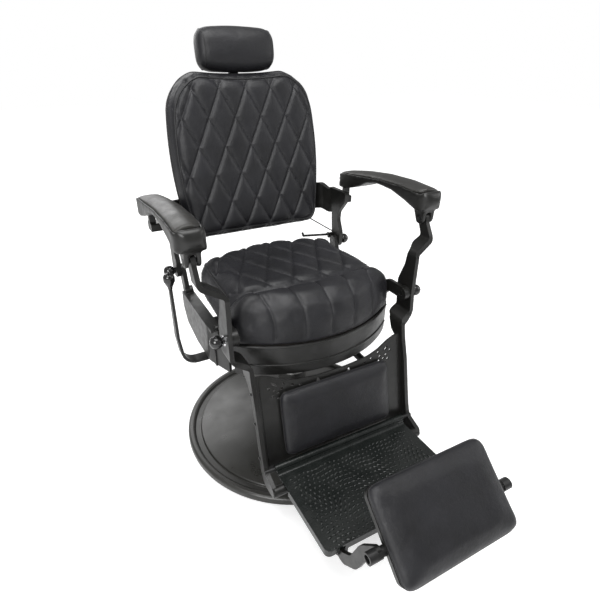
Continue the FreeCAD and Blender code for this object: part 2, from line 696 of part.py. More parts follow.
def leg_lever():
    """Left lever: the bar's bends seen from the front, trimmed to its outline seen from the side.

    A round stud on its toe carries the footplate.
    """
    top_y, top_z = ARM_PIVOT_FRONT
    bends = strip([(ARM_MID_X, top_z + 16), (ARM_MID_X, STEP_HIGH_Z[0]), (LEVER_SEAT_X, STEP_HIGH_Z[1]),
                   (LEVER_SEAT_X, STEP_LOW_Z[0]), (LEVER_LEG_X, STEP_LOW_Z[1]), (LEVER_LEG_X, TOE[1] - 20)],
                  LEVER_T, 14)
    pivot_y = FRONT_PIVOT[0]
    side = [(top_y - 14, top_z + 14, 13), (top_y - 16, top_z - 8, 20), (-194, 700, 25), (-214, 650, 15),
            (-215, FRONT_PIVOT[1], 60), (-221, 478, 20), (-237, 462, 15), (-247, 418, 60), (-268, 351, 100),
            (-299, 220, 200), (-312, 178, 30), (TOE[0] - 4, TOE[1] + 14, 13), (TOE[0] - 14, TOE[1] - 14, 13),
            (-312, 128, 20), (-289, 160, 20), (-240, 393, 100), (-195, 426, 25), (-179, 464, 10),
            (-160, 474, 15),
            (pivot_y + 38, 520, 40), (pivot_y + 41, 565, 30), (-172, 619, 60), (-178, 664, 10),
            (-158, 678, 10),
            (-156, 700, 20), (top_y + 14, top_z - 16, 20), (top_y + 14, top_z + 14, 13)]
    lever = plate_y(bends, TOE[0] - 30, top_y + 30).common(plate_x(side, LEVER_LEG_X - 20, ARM_MID_X + 20))
    stop = rod_x(FOOT_HALF_W - 6, LEVER_LEG_X, TOE, FOOT_TOP - FOOT_T - TOE[1] - STOP_FIT)
    lever = fuse(lever, stop)
    lever = lever.cut(rod_x(LEVER_LEG_X, ARM_MID_X, FRONT_PIVOT, PIN_R + PIN_FIT))
    lever = lever.cut(rod_x(LEVER_SEAT_X + 20, ARM_MID_X + 20, ARM_PIVOT_FRONT, PIN_R + LOOSE_FIT))
    return lever.cut([rod_x(LEVER_LEG_X - 20, LEVER_SEAT_X, FOOT_HINGE, PIN_R)] + panel_screw_list())


def bar_in():
    return LEVER_LEG_X - LEVER_T / 2


def footplate_pins():
    """Pins through the leg bars that the footplate hinges on."""
    return both_sides(rod_x(FOOT_HALF_W + 2, bar_in() + LEVER_T + 1, FOOT_HINGE, PIN_R))


def panel_screw_list():
    """Left-hand screws that pass through the leg bar into the calf panel's edge."""
    outer = LEVER_LEG_X + LEVER_T / 2
    screws = []
    for up in PANEL_SCREWS_UP:
        at = lean_frame(PANEL_FOOT, PANEL_LEAN).multVec(V(0, up, -PANEL_T / 2))
        screws.append(fuse(rod_x(bar_in() - 12, outer, (at.y, at.z), PANEL_SCREW_R),
                           rod_x(outer, outer + 2.5, (at.y, at.z), PANEL_SCREW_R + 2.5)))
    return screws


def panel_screws():
    left = panel_screw_list()
    return group(*(left + [mirrored(s) for s in left]))


# Calf panel and its cushion

def in_panel(shape):
    return placed(shape, lean_frame(PANEL_FOOT, PANEL_LEAN))


def leaf(x, up, length, width, turn):
    """Leaf-shaped hole: two arcs that meet in points."""
    place = FreeCAD.Placement(V(x, up, 0), FreeCAD.Rotation(V(0, 0, 1), turn))
    tip, tail = place.multVec(V(length / 2, 0, 0)), place.multVec(V(-length / 2, 0, 0))
    sides = [place.multVec(V(0, width / 2 * s, 0)) for s in (1, -1)]
    wire = Part.Wire([Part.Arc(tail, sides[0], tip).toShape(), Part.Arc(tip, sides[1], tail).toShape()])
    cutter = Part.Face(wire).extrude(V(0, 0, PANEL_T + 2))
    cutter.translate(V(0, 0, -PANEL_T - 1))
    return cutter


def panel_sprays():
    """Pierced scroll in the panel's scooped top, the same on both sides: broad leaves and a fan of drops."""
    fan_x, fan_up = 154, 207
    leaves = [leaf(49, 212, 25, 12, 78), leaf(71, 206, 25, 7, 36), leaf(fan_x, fan_up, 20, 12, 80),
              leaf(181, 244, 23, 6, 42), leaf(105, 221, 12, 5, 20), leaf(111, 208, 11, 4.5, 20)]
    for reach, bearings in ((20, (-17, 27, 73, 172)), (33, (8, 34, 90, 141)), (52, (35,))):
        for bearing in bearings:
            turn = math.radians(bearing)
            leaves.append(leaf(fan_x + reach * math.cos(turn), fan_up + reach * math.sin(turn), 11, 6, 30))
    return leaves + [mirrored(s) for s in leaves]


def calf_panel():
    half = bar_in()
    top = PANEL_TOP
    corners = [(-half, 0, 4), (-176, 0, 6), (-170, 12, 6), (170, 12, 6), (176, 0, 6), (half, 0, 4),
               (half, top, 3),
               (212, top - 1, 14)]
    scoop = [(188, top - 10), (153, top - 29), (120, top - 40), (80, top - 45), (40, top - 48)]
    corners += [(x, up, 80) for x, up in scoop] + [(-x, up, 80) for x, up in scoop[::-1]]
    corners += [(-212, top - 1, 14), (-half, top, 3)]
    panel = plate_z(corners, -PANEL_T, 0).cut(panel_sprays())
    lines = []
    for side in (-1, 1):
        x = side * (half - 11)
        lines.append(box(x - 0.8, x + 0.8, 8, top - 12, -1, 1))
    screws = panel_screw_list()
    return in_panel(panel.cut(lines)).cut(screws + [mirrored(s) for s in screws])


def pillow(outline, levels):
    """Ruled loft of one outline through (height, inset) levels."""
    return loft([outline(z, inset) for z, inset in levels])


def calf_outline(z, inset):
    half, low, high = CALF_HALF_W - inset, CALF_LOW + inset, CALF_HIGH - inset
    return rounded_wire([(-half, low, 16), (half, low, 16), (half, high, 16), (-half, high, 16)],
                        lambda p: V(p.x, p.y, z))


def calf_cushion():
    levels = [(0, 1.5), (6, 0), (16, 1), (22, 4), (CALF_T - 1, 12), (CALF_T + 1, 30)]
    return in_panel(pillow(calf_outline, levels))


def strut_leg_bracket():
    """Lug pair on the calf panel's rear face that holds the strut's front pin."""
    frame = lean_frame(PANEL_FOOT, PANEL_LEAN)
    local = frame.inverse().multVec(V(0, STRUT_LEG[0], STRUT_LEG[1]))
    eye = STRUT_EYE_R + 1
    corners = [(local.y - eye - 10, -PANEL_T), (local.y - eye, local.z - eye, eye),
               (local.y + eye, local.z - eye, eye),
               (local.y + eye, -PANEL_T)]
    lugs = []
    for side in (-1, 1):
        x = STRUT_X + side * 8
        face = Part.Face(rounded_wire(corners, lambda p: V(x - 3, p.x, p.y)))
        lugs.append(placed(face.extrude(V(6, 0, 0)), frame))
    pad = placed(box(STRUT_X - 18, STRUT_X + 18, local.y - eye - 10, local.y + eye, -PANEL_T - 4, -PANEL_T),
                 frame)
    return fuse(pad, *lugs).cut(rod_x(STRUT_X - 20, STRUT_X + 20, STRUT_LEG, PIN_R))


def strut_pin(yz):
    return fuse(rod_x(STRUT_X - 13, STRUT_X + 13, yz, PIN_R),
                rod_x(STRUT_X + 11, STRUT_X + 15, yz, PIN_R + 3))


# Lock strut

def strut_direction():
    run = V(0, STRUT_LEG[0] - STRUT_SEAT[0], STRUT_LEG[1] - STRUT_SEAT[1])
    return run.normalize()


def strut_tube():
    seat = V(STRUT_X, STRUT_SEAT[0], STRUT_SEAT[1])
    run = strut_direction()
    start = STRUT_EYE_R + 5
    tube = rod_between(seat + run * start, seat + run * STRUT_TUBE_L, STRUT_TUBE_R)
    tube = tube.cut(rod_between(seat + run * (start + 8), seat + run * (STRUT_TUBE_L + 1), STRUT_BORE_R))
    neck = rod_between(seat, seat + run * (start + 1), STRUT_ROD_R)
    eye = rod_x(STRUT_X - 4.7, STRUT_X + 4.7, STRUT_SEAT, STRUT_EYE_R)
    return fuse(tube, eye, neck).cut(rod_x(STRUT_X - 20, STRUT_X + 20, STRUT_SEAT, PIN_R + PIN_FIT))


def strut_rod():
    leg = V(STRUT_X, STRUT_LEG[0], STRUT_LEG[1])
    run = strut_direction()
    bar = rod_between(leg - run * STRUT_ROD_L, leg - run * 8, STRUT_ROD_R)
    eye = rod_x(STRUT_X - 4.7, STRUT_X + 4.7, STRUT_LEG, STRUT_EYE_R)
    return fuse(bar, eye).cut(rod_x(STRUT_X - 20, STRUT_X + 20, STRUT_LEG, PIN_R + PIN_FIT))


# Footplate

def footplate():
    half, rear = FOOT_HALF_W, FOOT_HINGE[0]
    under = FOOT_TOP - FOOT_T
    plan = [(-half, rear), (half, rear), (half, FOOT_FRONT_Y, 14), (-half, FOOT_FRONT_Y, 14)]
    skirt = plate_z(plan, FOOT_TOP - FOOT_RIM, FOOT_TOP)
    cavity_plan = [(-half + FOOT_RIM_T, rear + 1), (half - FOOT_RIM_T, rear + 1),
                   (half - FOOT_RIM_T, FOOT_FRONT_Y + FOOT_RIM_T, 9),
                   (-half + FOOT_RIM_T, FOOT_FRONT_Y + FOOT_RIM_T, 9)]
    skirt = skirt.cut(plate_z(cavity_plan, 0, under))
    skirt = skirt.cut(box(-half - 1, half + 1, TOE[0] - TOE_R - 12, rear + 1, 0, under))
    barrel = rod_x(-half - 2, half + 2, FOOT_HINGE, FOOT_BARREL_R)
    lip = plate_x([(rear - 22, under), (rear + 2, under, 3), (rear + 8, FOOT_HINGE[1] - 2),
                   (rear - 8, FOOT_HINGE[1] + 5, 8),
                   (rear - 14, FOOT_TOP, 8), (rear - 30, FOOT_TOP)], -half, half)
    lugs = [box(x0, x1, SWING_HINGE[0] - 10, SWING_HINGE[0] + 14, SWING_HINGE[1] - 10, under + 1)
            for x0, x1 in
            ((SWING_X[0] - 13, SWING_X[0] - 1), (-SWING_X[0] + 1, -SWING_X[0] + 13))]
    ribs = [box(x - 3, x + 3, FOOT_FRONT_Y + 3, TOE[0] - 30, under - 10, under + 1) for x in (-90, 90)]
    notch = box(SWING_X[0] - 2, SWING_X[1] + 2, FOOT_FRONT_Y - 1, FOOT_FRONT_Y + FOOT_RIM_T + 1, 0, under)
    plate = fuse(skirt, barrel, lip, *lugs, *ribs).cut(both_sides(notch).Solids)
    plate = plate.cut(rod_x(-half - 3, half + 3, FOOT_HINGE, PIN_R + PIN_FIT))
    return plate.cut(rod_x(-half, half, SWING_HINGE, PIN_R))


def swing_hinge_rod():
    end = SWING_X[1] + 5
    heads = [rod_x(side * end, side * (end - 4), SWING_HINGE, PIN_R + 4) for side in (-1, 1)]
    return fuse(rod_x(-end, end, SWING_HINGE, PIN_R), *heads)


# Flip pad

def swing_arms():
    """Two hooked arms from the footplate's front hinge to the pad's rod."""
    y, z = SWING_HINGE
    path = [(y + 10, z + 9), (y - 16, z - 6), (-621, 166), (-646, 238), (ROD[0] - 6, ROD[1] + 9)]
    arm = plate_x([c[:2] + (c[2] or SWING_W * 0.48,) for c in strip(path, SWING_W, 50)], SWING_X[0],
                  SWING_X[1])
    arm = arm.cut(rod_x(SWING_X[0] - 1, SWING_X[1] + 1, SWING_HINGE, PIN_R + PIN_FIT))
    return both_sides(arm.cut(rod_x(SWING_X[0] - 1, SWING_X[1] + 1, ROD, ROD_R)))


def pad_rod():
    bar = rod_x(-ROD_HALF_L, ROD_HALF_L, ROD, ROD_R)
    ends = []
    for side in (-1, 1):
        sleeve = rod_x(side * (SWING_X[1] + 0.1), side * ROD_HALF_L, ROD, ROD_END_R)
        ends.append(sleeve)
    rod = fuse(bar, *ends)
    hollows = [rod_x(side * (ROD_HALF_L - 14), side * (ROD_HALF_L + 1), ROD, ROD_R - 2) for side in (-1, 1)]
    return rod.cut(hollows)


def in_pad(shape):
    return placed(shape, lean_frame(PAD_MID, 90 - PAD_LEAN))


def pad_outline(z, inset):
    half, reach = PAD_HALF_W - inset, PAD_HALF_L - inset
    return rounded_wire([(-half, -reach, 20), (half, -reach, 20), (half, reach, 20), (-half, reach, 20)],
                        lambda p: V(p.x, p.y, z))


def pad_tray():
    low, high = PAD_TRAY
    tray = in_pad(pillow(pad_outline, [(low, 9), (low + 6, 4), (high, 3)]))
    return tray.cut(rod_x(-PAD_HALF_W - 1, PAD_HALF_W + 1, ROD, ROD_R + PIN_FIT))


def pad_cushion():
    low = PAD_TRAY[1]
    t = PAD_CUSHION_T
    levels = [(low, 2), (low + 5, 0), (low + t * 0.5, 1), (low + t * 0.78, 5), (low + t, 14),
              (low + t + 3, 34)]
    return in_pad(pillow(pad_outline, levels)).cut(
        rod_x(-PAD_HALF_W - 1, PAD_HALF_W + 1, ROD, ROD_R + LOOSE_FIT))


# Back

def back_outline(z, inset, top_inset=None):
    """Back outline on its face: near-flat bottom, bowed sides, round shoulders, a slight dip on top."""
    top_inset = inset if top_inset is None else top_inset
    low, high, half = BACK_BOTTOM + inset, BACK_TOP - top_inset, BACK_HALF_W - inset
    corner = 38.0
    foot_half = half - 15
    waist = low + corner * 1.1
    shoulder_x, shoulder_low = half - 97, high - 98

    def at(x, y):
        return V(x, y, z)

    right = [Part.Arc(at(foot_half - corner, low), at(foot_half - corner * 0.26, low + corner * 0.3),
                      at(foot_half, waist)),
             Part.Arc(at(foot_half, waist), at(half, (low + high) / 2 + 8), at(half - 9, shoulder_low)),
             Part.Arc(at(half - 9, shoulder_low), at(half - 35, high - 41), at(shoulder_x, high))]
    top = [Part.Arc(at(shoulder_x, high), at(0, high - BACK_TOP_DIP), at(-shoulder_x, high))]
    left = [Part.Arc(at(-shoulder_x, high), at(35 - half, high - 41), at(9 - half, shoulder_low)),
            Part.Arc(at(9 - half, shoulder_low), at(-half, (low + high) / 2 + 8), at(-foot_half, waist)),
            Part.Arc(at(-foot_half, waist), at(corner * 0.26 - foot_half, low + corner * 0.3),
                     at(corner - foot_half, low))]
    bottom = [Part.LineSegment(at(corner - foot_half, low), at(foot_half - corner, low))]
    return Part.Wire([c.toShape() for c in right + top + left + bottom])


def back_cushion():
    t = BACK_CUSHION_T
    levels = [(-t, 3, 3), (-t * 0.7, 0, 1), (-t * 0.3, 2, 6), (-8, 7, 15), (-2, 12, 22), (0, 20, 30)]
    cushion = loft([back_outline(*level) for level in levels])
    grooves = quilt_grooves(BACK_HALF_W, (BACK_BOTTOM, BACK_TOP), 0, 2 * QUILT_ROW, QUILT_HALF_W, QUILT_ROW)
    return in_back(cushion.cut(grooves))


def back_layer(front, thickness, inset):
    return Part.Face(back_outline(front - thickness, inset)).extrude(V(0, 0, thickness))


def back_board():
    return in_back(back_layer(-BACK_CUSHION_T, BACK_BOARD_T, 3))


def back_cover():
    front = -BACK_CUSHION_T - BACK_BOARD_T
    levels = [(front, 4), (front - BACK_COVER_T * 0.6, 5), (front - BACK_COVER_T, 14)]
    return in_back(pillow(back_outline, levels))


def back_rear():
    return -BACK_CUSHION_T - BACK_BOARD_T - BACK_COVER_T


def wing_plan():
    rear = back_rear() - WING_T / 2
    post = (POST_X[0] + POST_X[1]) / 2
    return [(post - 152, rear), (post - 53, rear), (post - 16, rear + 41), (post, -8), (post, 34)]


def back_casting():
    """Left back casting: a flange behind the back, a wing that curves forward, and the rear post."""
    wing = in_back(placed_wing())
    post = plate_x([(183, 545, 18), (228, 545, 18), (234, 600, 30), (238, 640, 30), (240, 668, 20),
                    (262, 690, 12),
                    (262, 742, 8), (160, 742, 8), (163, 710, 20), (199, 668, 25), (201, 640, 25),
                    (182, 598, 25)],
                   POST_X[0], POST_X[1])
    head = plate_x(link_corners((ARM_PIVOT_REAR[0] - 1, 702), ARM_PIVOT_REAR, 2 * HEAD_R),
                   ARM_MID_X - HEAD_T / 2, ARM_MID_X + HEAD_T / 2)
    step = box(POST_X[0], ARM_MID_X + HEAD_T / 2, 215, 262, 690, 714)
    step = step.makeFillet(5, [e for e in step.Edges if abs(e.tangentAt(e.FirstParameter).x) > 0.9])
    casting = fuse(wing, post, step, head)
    casting = casting.cut(rod_x(POST_X[0] - 1, POST_X[1] + 1, REAR_PIVOT, PIN_R + PIN_FIT))
    casting = casting.cut(rod_x(ARM_MID_X - 20, ARM_MID_X + 20, ARM_PIVOT_REAR, PIN_R + PIN_FIT))
    for up in (WING_LOW + 22, WING_HIGH - 22):
        for x in (156, 192):
            casting = casting.cut(in_back(rod_z(back_rear() - WING_T - 1, back_rear() + 1, 4.2, (x, up))))
    return casting


def placed_wing():
    """The wing in the back's frame: its bent plan, trimmed to a waisted side outline."""
    plan = strip(wing_plan(), WING_T, 26)
    face = Part.Face(rounded_wire(plan, lambda p: V(p.x, WING_LOW - 20, p.y)))
    wing = face.extrude(V(0, WING_HIGH - WING_LOW + 40, 0))
    rear = back_rear() - WING_T - 2
    trim = rounded_wire([(WING_LOW + 4, rear), (WING_LOW + 4, back_rear() + 30), (WING_LOW - 12, -20, 30),
                         (WING_LOW + 6, 60), (WING_HIGH - 32, 60), (WING_HIGH - 22, -20, 30),
                         (WING_HIGH, back_rear() + 30, 20), (WING_HIGH, rear)], lambda p: V(120, p.x, p.y))
    return wing.common(Part.Face(trim).extrude(V(200, 0, 0)))


def back_screws():
    """Screws that hold the castings' flanges to the back board."""
    screws = []
    rear = back_rear() - WING_T
    for up in (WING_LOW + 22, WING_HIGH - 22):
        for x in (156, 192):
            shank = rod_z(rear, back_rear() + BACK_COVER_T + BACK_BOARD_T - 1, 4, (x, up))
            head = rod_z(rear - 4, rear, 8, (x, up))
            screws.append(in_back(fuse(shank, head)))
    return group(*(screws + [mirrored(s) for s in screws]))


def headrest_post():
    """Flat bar with a plate on its top that carries the headrest."""
    rear = back_rear() - GUIDE_WALL - SLIDE_FIT
    up = HEADREST_MID[0]
    bar = box(-HEADPOST_W / 2, HEADPOST_W / 2, HEADPOST_LOW, up + 14, rear - HEADPOST_T, rear)
    plate = box(-60, 60, up - 30, up + 30, rear, rear + 5)
    return in_back(fuse(bar, plate))


def headrest_guide():
    """Flat socket on the back cover that the headrest's post slides in."""
    rear = back_rear()
    half = HEADPOST_W / 2 + SLIDE_FIT
    deep = rear - 2 * GUIDE_WALL - HEADPOST_T - 2 * SLIDE_FIT
    body = box(-half - GUIDE_WALL, half + GUIDE_WALL, GUIDE_LOW, GUIDE_HIGH, deep, rear)
    flange = box(-half - 18, half + 18, GUIDE_LOW, GUIDE_HIGH, rear - 3, rear)
    slot = box(-half, half, GUIDE_LOW - 1, GUIDE_HIGH + 1, deep + GUIDE_WALL, rear - GUIDE_WALL)
    return in_back(fuse(body, flange).cut(slot))


def headrest_section(x, inset):
    up, out = HEADREST_MID
    h, d = HEADREST_H / 2 - inset, HEADREST_D / 2 - inset
    corners = [(up - h, out - d, 22), (up - h, out + d, 36), (up + h, out + d, 40), (up + h, out - d, 26)]
    return rounded_wire(corners, lambda p: V(x, p.x, p.y))


def headrest_cushion():
    half = HEADREST_HALF_W
    ends = [(half, 24), (half - 4, 13), (half - 14, 5), (half - 34, 1), (half * 0.4, 0)]
    bolster = loft([headrest_section(-x, inset) for x, inset in ends]
                   + [headrest_section(x, inset) for x, inset in ends[::-1]])
    rear = back_rear() - GUIDE_WALL - SLIDE_FIT
    up = HEADREST_MID[0]
    pocket = box(-HEADPOST_W / 2 - 1, HEADPOST_W / 2 + 1, up - HEADREST_H, up + 15,
                 rear - HEADPOST_T - 1, rear)
    plate_room = box(-61, 61, up - 31, up + 31, rear, rear + 6)
    return in_back(bolster.cut([pocket, plate_room]))


def release_lug():
    """Small lug on the left rear post that holds the release lever's pin."""
    x, z = RELEASE_PIVOT
    return box(x - 8, POST_X[0] + 1, RELEASE_LUG_Y[0], RELEASE_LUG_Y[1], z - 8, z + 9)


def release_pin():
    rear = RELEASE_LUG_Y[1] + RELEASE_EYE_T + 2 * SIDE_PLAY
    return fuse(rod_y(RELEASE_LUG_Y[0], rear + 3, RELEASE_PIVOT, RELEASE_PIN_R),
                rod_y(rear, rear + 3, RELEASE_PIVOT, RELEASE_PIN_R + 3))


def release_lever():
    """Thin lever behind the seat that frees the recline lock, with an upturned tip."""
    x, z = RELEASE_PIVOT
    front = RELEASE_LUG_Y[1] + SIDE_PLAY
    eye = rod_y(front, front + RELEASE_EYE_T, RELEASE_PIVOT, RELEASE_PIN_R + 4)
    root, tip = V(x - 3, front + RELEASE_EYE_T / 2, z), V(176, 250, 583)
    bar = rod_between(root, tip, RELEASE_ROD_R)
    turned = rod_between(tip, tip + V(-4, 0, 12), RELEASE_ROD_R)
    lever = fuse(eye, bar, turned, Part.makeSphere(RELEASE_ROD_R, tip))
    return lever.cut(rod_y(200, 260, RELEASE_PIVOT, RELEASE_PIN_R + PIN_FIT))


def corner_stay():
    """Thin stay from the back's lower left corner down to the rear post."""
    top = back_point(197, BACK_BOTTOM + 13, -BACK_CUSHION_T - BACK_BOARD_T * 0.8)
    low = V(POST_X[0] + 1.5, 223, 590)
    return rod_between(top, low, STAY_R)


# Arms

# Along the arm: y, crown height, pad thickness, rise of the crown over the pad's sides
ARM_STATIONS = ((258, 789, 7, 4), (214, 801, 9, 5), (160, 811, 14, 9), (112, 819, 17, 12), (20, 829, 17, 12),
                (-80, 832, 17, 12), (-166, 827, 17, 12))


def arm_section(station, half):
    """Pad section across the arm: flat seat, short sides, crowned top."""
    y, crown, thick, rise = station
    side, seat = crown - rise, crown - thick
    mid = ARM_MID_X
    a, b = V(mid - half, y, seat), V(mid + half, y, seat)
    c, d = V(mid + half, y, side), V(mid - half, y, side)
    return Part.Wire([Part.LineSegment(a, b).toShape(), Part.LineSegment(b, c).toShape(),
                      Part.Arc(c, V(mid, y, crown), d).toShape(), Part.LineSegment(d, a).toShape()])


def arm_pad():
    inset = 3.0
    half = ARM_HALF_W - inset
    sections = [arm_section(station, half) for station in ARM_STATIONS]
    return loft(sections).common(arm_plan(inset, ARM_PAD_FRONT_Y))


def arm_plan(inset, front):
    """Plan of the arm as a tall block: round ends, its inner side drawn in a little at the rear."""
    inner, outer, rear = ARM_MID_X - ARM_HALF_W + inset, ARM_MID_X + ARM_HALF_W - inset, ARM_REAR_Y - inset
    plan = [(inner + ARM_REAR_TAPER, rear, 26), (outer, rear, 28), (outer, front, 34), (inner, front, 34),
            (inner, 60, 200)]
    return plate_z(plan, 700, 900)


def arm_casting():
    """Left arm: an arched casting with a nose, a fork for the leg lever and a channel for the back's head."""
    rear_y, rear_z = ARM_PIVOT_REAR
    top = [(y, z - t + 4) for y, z, t, _ in ARM_STATIONS]
    nose = [(ARM_PAD_FRONT_Y - 4, ARM_STATIONS[-1][1] - 2, 6), (ARM_NOSE_Y + 5, 815, 16),
            (ARM_NOSE_Y, 790, 14)]
    side = top + nose + [
        (-176, 766, 12), (-150, 768, 30), (-102, 783, 80), (-40, 798, 120), (30, 801, 120), (84, 790, 60),
        (118, 772, 40), (164, 757, 30), (205, 746, 10), (ARM_REAR_Y, 746, 6)]
    body = plate_x(side, ARM_MID_X - ARM_HALF_W, ARM_MID_X + ARM_HALF_W).common(arm_plan(0, ARM_NOSE_Y))
    fy, fz = ARM_PIVOT_FRONT
    prongs = plate_x([(fy - 15, fz - 15, 13), (fy + 11, fz - 15, 12), (fy + 31, 770), (fy - 19, 778)],
                     ARM_MID_X - FORK_HALF_W, ARM_MID_X + FORK_HALF_W)
    slot = plate_x([(fy - 60, fz - 30), (fy + 60, fz - 30), (fy + 40, fz + 17, 6), (fy - 26, fz + 17, 6)],
                   ARM_MID_X - FORK_GAP, ARM_MID_X + FORK_GAP)
    room = HEAD_R + 1
    channel = plate_x([(176, 730), (rear_y + room, 730), (rear_y + room, rear_z + room, room * 0.98),
                       (rear_y - 20, rear_z + room, 12), (176, 758)],
                      ARM_MID_X - ARM_CHANNEL_HALF_W, ARM_MID_X + ARM_CHANNEL_HALF_W)
    casting = fuse(body, prongs).cut([slot, channel, arm_pad()])
    casting = casting.cut(rod_x(ARM_MID_X - 50, ARM_MID_X + 50, ARM_PIVOT_FRONT, PIN_R))
    return casting.cut(rod_x(ARM_MID_X - 50, rear_pin_end(), ARM_PIVOT_REAR, PIN_R))


def rear_pin_end():
    """The rear pin stops inside the casting's outer wall."""
    return ARM_MID_X + ARM_HALF_W - 10


def arm_pins():
    """The arm's two pivot pins."""
    front = rod_x(ARM_MID_X - FORK_HALF_W, ARM_MID_X + FORK_HALF_W, ARM_PIVOT_FRONT, PIN_R)
    rear = rod_x(ARM_MID_X - ARM_HALF_W + ARM_REAR_TAPER + 6, rear_pin_end(), ARM_PIVOT_REAR, PIN_R)
    return group(front, rear)


# Pump lever

def pump_head():
    """Valve housing under the turret with two cheeks that hold the lever's pin."""
    x, z = LEVER_PIVOT
    gap = LEVER_BAR_W / 2 + 0.5
    low = z - 16
    block = box(x + 15, -HUB_R + 2, LEVER_Y - gap - 14, LEVER_Y + gap + 14, low, TURRET_Z)
    cheeks = [box(x - 15, x + 16, LEVER_Y + s * gap, LEVER_Y + s * (gap + 14), low, TURRET_Z)
              for s in (-1, 1)]
    hub_room = rod_z(low - 1, TURRET_Z + 1, HUB_R)
    return fuse(block, *cheeks).cut(rod_y(LEVER_Y - 60, LEVER_Y + 60, LEVER_PIVOT, PIN_R)).cut(hub_room)


def lever_pin():
    reach = LEVER_BAR_W / 2 + 16
    return fuse(rod_y(LEVER_Y - reach, LEVER_Y + reach, LEVER_PIVOT, PIN_R),
                rod_y(LEVER_Y - reach - 3, LEVER_Y - reach + 1, LEVER_PIVOT, PIN_R + 3))


def pump_lever():
    """Flat bar from the pump out under the seat's side, then up beside it, tapering to its neck."""
    x, z = LEVER_PIVOT
    top_x, top_z = LEVER_TOP
    bends = strip([(x, z), (LEVER_OUT_X, z), (top_x + 1, 440), (top_x, top_z + 5)], LEVER_BAR_T, 42)
    half, neck = LEVER_BAR_W / 2, 7.0
    taper = [(LEVER_Y - half, 0), (LEVER_Y + half, 0), (LEVER_Y + half, z + 40, 60), (LEVER_Y + neck, top_z),
             (LEVER_Y - neck, top_z), (LEVER_Y - half, z + 40, 60)]
    bar = plate_y(bends, LEVER_Y - half, LEVER_Y + half).common(plate_x(taper, top_x - 30, x + 30))
    eye = rod_y(LEVER_Y - half, LEVER_Y + half, LEVER_PIVOT, 11)
    return fuse(bar, eye).cut(rod_y(LEVER_Y - 60, LEVER_Y + 60, LEVER_PIVOT, PIN_R + PIN_FIT))


def lever_knob():
    """Teardrop knob on the lever's neck."""
    x, z = LEVER_TOP
    r = LEVER_KNOB_R
    return lathe([(0, z), (5.5, z), (7, z + 8, 12), (r, z + 26, 12), (r, z + 26 + 1.1 * r, r),
                  (0, z + 27 + 1.45 * r)],
                 V(x, LEVER_Y, 0))


def nodes():
    screws = back_screws().Solids
    board = back_board().cut(screws + [corner_stay()])
    cover = back_cover().cut(screws + [corner_stay()])
    sides = [side_casting(), mirrored(side_casting())]
    parts = {
        "base_disc": base_disc(),
        "base_foot_ring": base_foot_ring(),
        "pump_cylinder": pump_cylinder(),
        "base_bolts": base_bolts(),
        "pump_gland": pump_gland(),
        "ram": ram(),
        "swivel_bearing": swivel_bearing(),
        "seat_turret": seat_turret(),
        "turret_bolts": turret_bolts(),
        "seat_cross_rails": group(*[cross_rail(y).cut(sides) for y in (RAIL_FRONT_Y, RAIL_REAR_Y)]),
        "seat_sleepers": seat_sleepers(),
        "seat_side_left": sides[0],
        "seat_side_right": sides[1],
        "seat_apron": seat_apron(),
        "seat_board": seat_board(),
        "seat_cushion": seat_cushion(),
        "rear_ball_pins": rear_ball_pins(),
        "front_ball_pins": front_ball_pins(),
        "front_washers": front_washers(),
        "strut_seat_bracket": strut_seat_bracket(),
        "strut_seat_pin": strut_pin(STRUT_SEAT),
        "frame_screws": frame_screws(),
        "pump_head": pump_head(),
        "lever_pin": lever_pin(),
        "pump_lever": pump_lever(),
        "pump_lever_knob": lever_knob(),
        "back_casting_left": fuse(back_casting(), release_lug()).cut([release_pin(), corner_stay()]),
        "back_casting_right": mirrored(back_casting()),
        "back_board": board,
        "back_cushion": back_cushion(),
        "back_rear_cover": cover,
        "back_screws": back_screws(),
        "headrest_guide": headrest_guide(),
        "corner_stay": corner_stay(),
        "release_pin": release_pin(),
        "release_lever": release_lever(),
        "headrest_post": headrest_post(),
        "headrest_cushion": headrest_cushion(),
        "leg_lever_left": leg_lever(),
        "leg_lever_right": mirrored(leg_lever()),
        "calf_panel": calf_panel(),
        "calf_cushion": calf_cushion(),
        "footplate_pins": footplate_pins(),
        "panel_screws": panel_screws(),
        "strut_leg_bracket": strut_leg_bracket(),
        "strut_leg_pin": strut_pin(STRUT_LEG),
        "lock_strut_tube": strut_tube(),
        "lock_strut_rod": strut_rod(),
        "footplate": footplate(),
        "swing_hinge_rod": swing_hinge_rod(),
        "swing_arms": swing_arms(),
        "pad_rod": pad_rod(),
        "flip_pad_tray": pad_tray(),
        "flip_pad_cushion": pad_cushion(),
    }
    for side in ("left", "right"):
        for name, make in (("arm_casting", arm_casting), ("arm_pad", arm_pad), ("arm_pins", arm_pins)):
            shape = make()
            parts[name + "_" + side] = shape if side == "left" else mirrored(shape)
    return parts


os.makedirs("parts", exist_ok=True)
for name, shape in nodes().items():
    shape.exportStep("parts/" + name + ".step")
    print(name, len(shape.Solids), "valid" if shape.isValid() else "NOT VALID",
          round(shape.Volume / 1000, 1), "cm3")
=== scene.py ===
import json
import math

import bmesh
import bpy
import numpy as np
from mathutils import Matrix, Vector
from mathutils.bvhtree import BVHTree
from mathutils.kdtree import KDTree


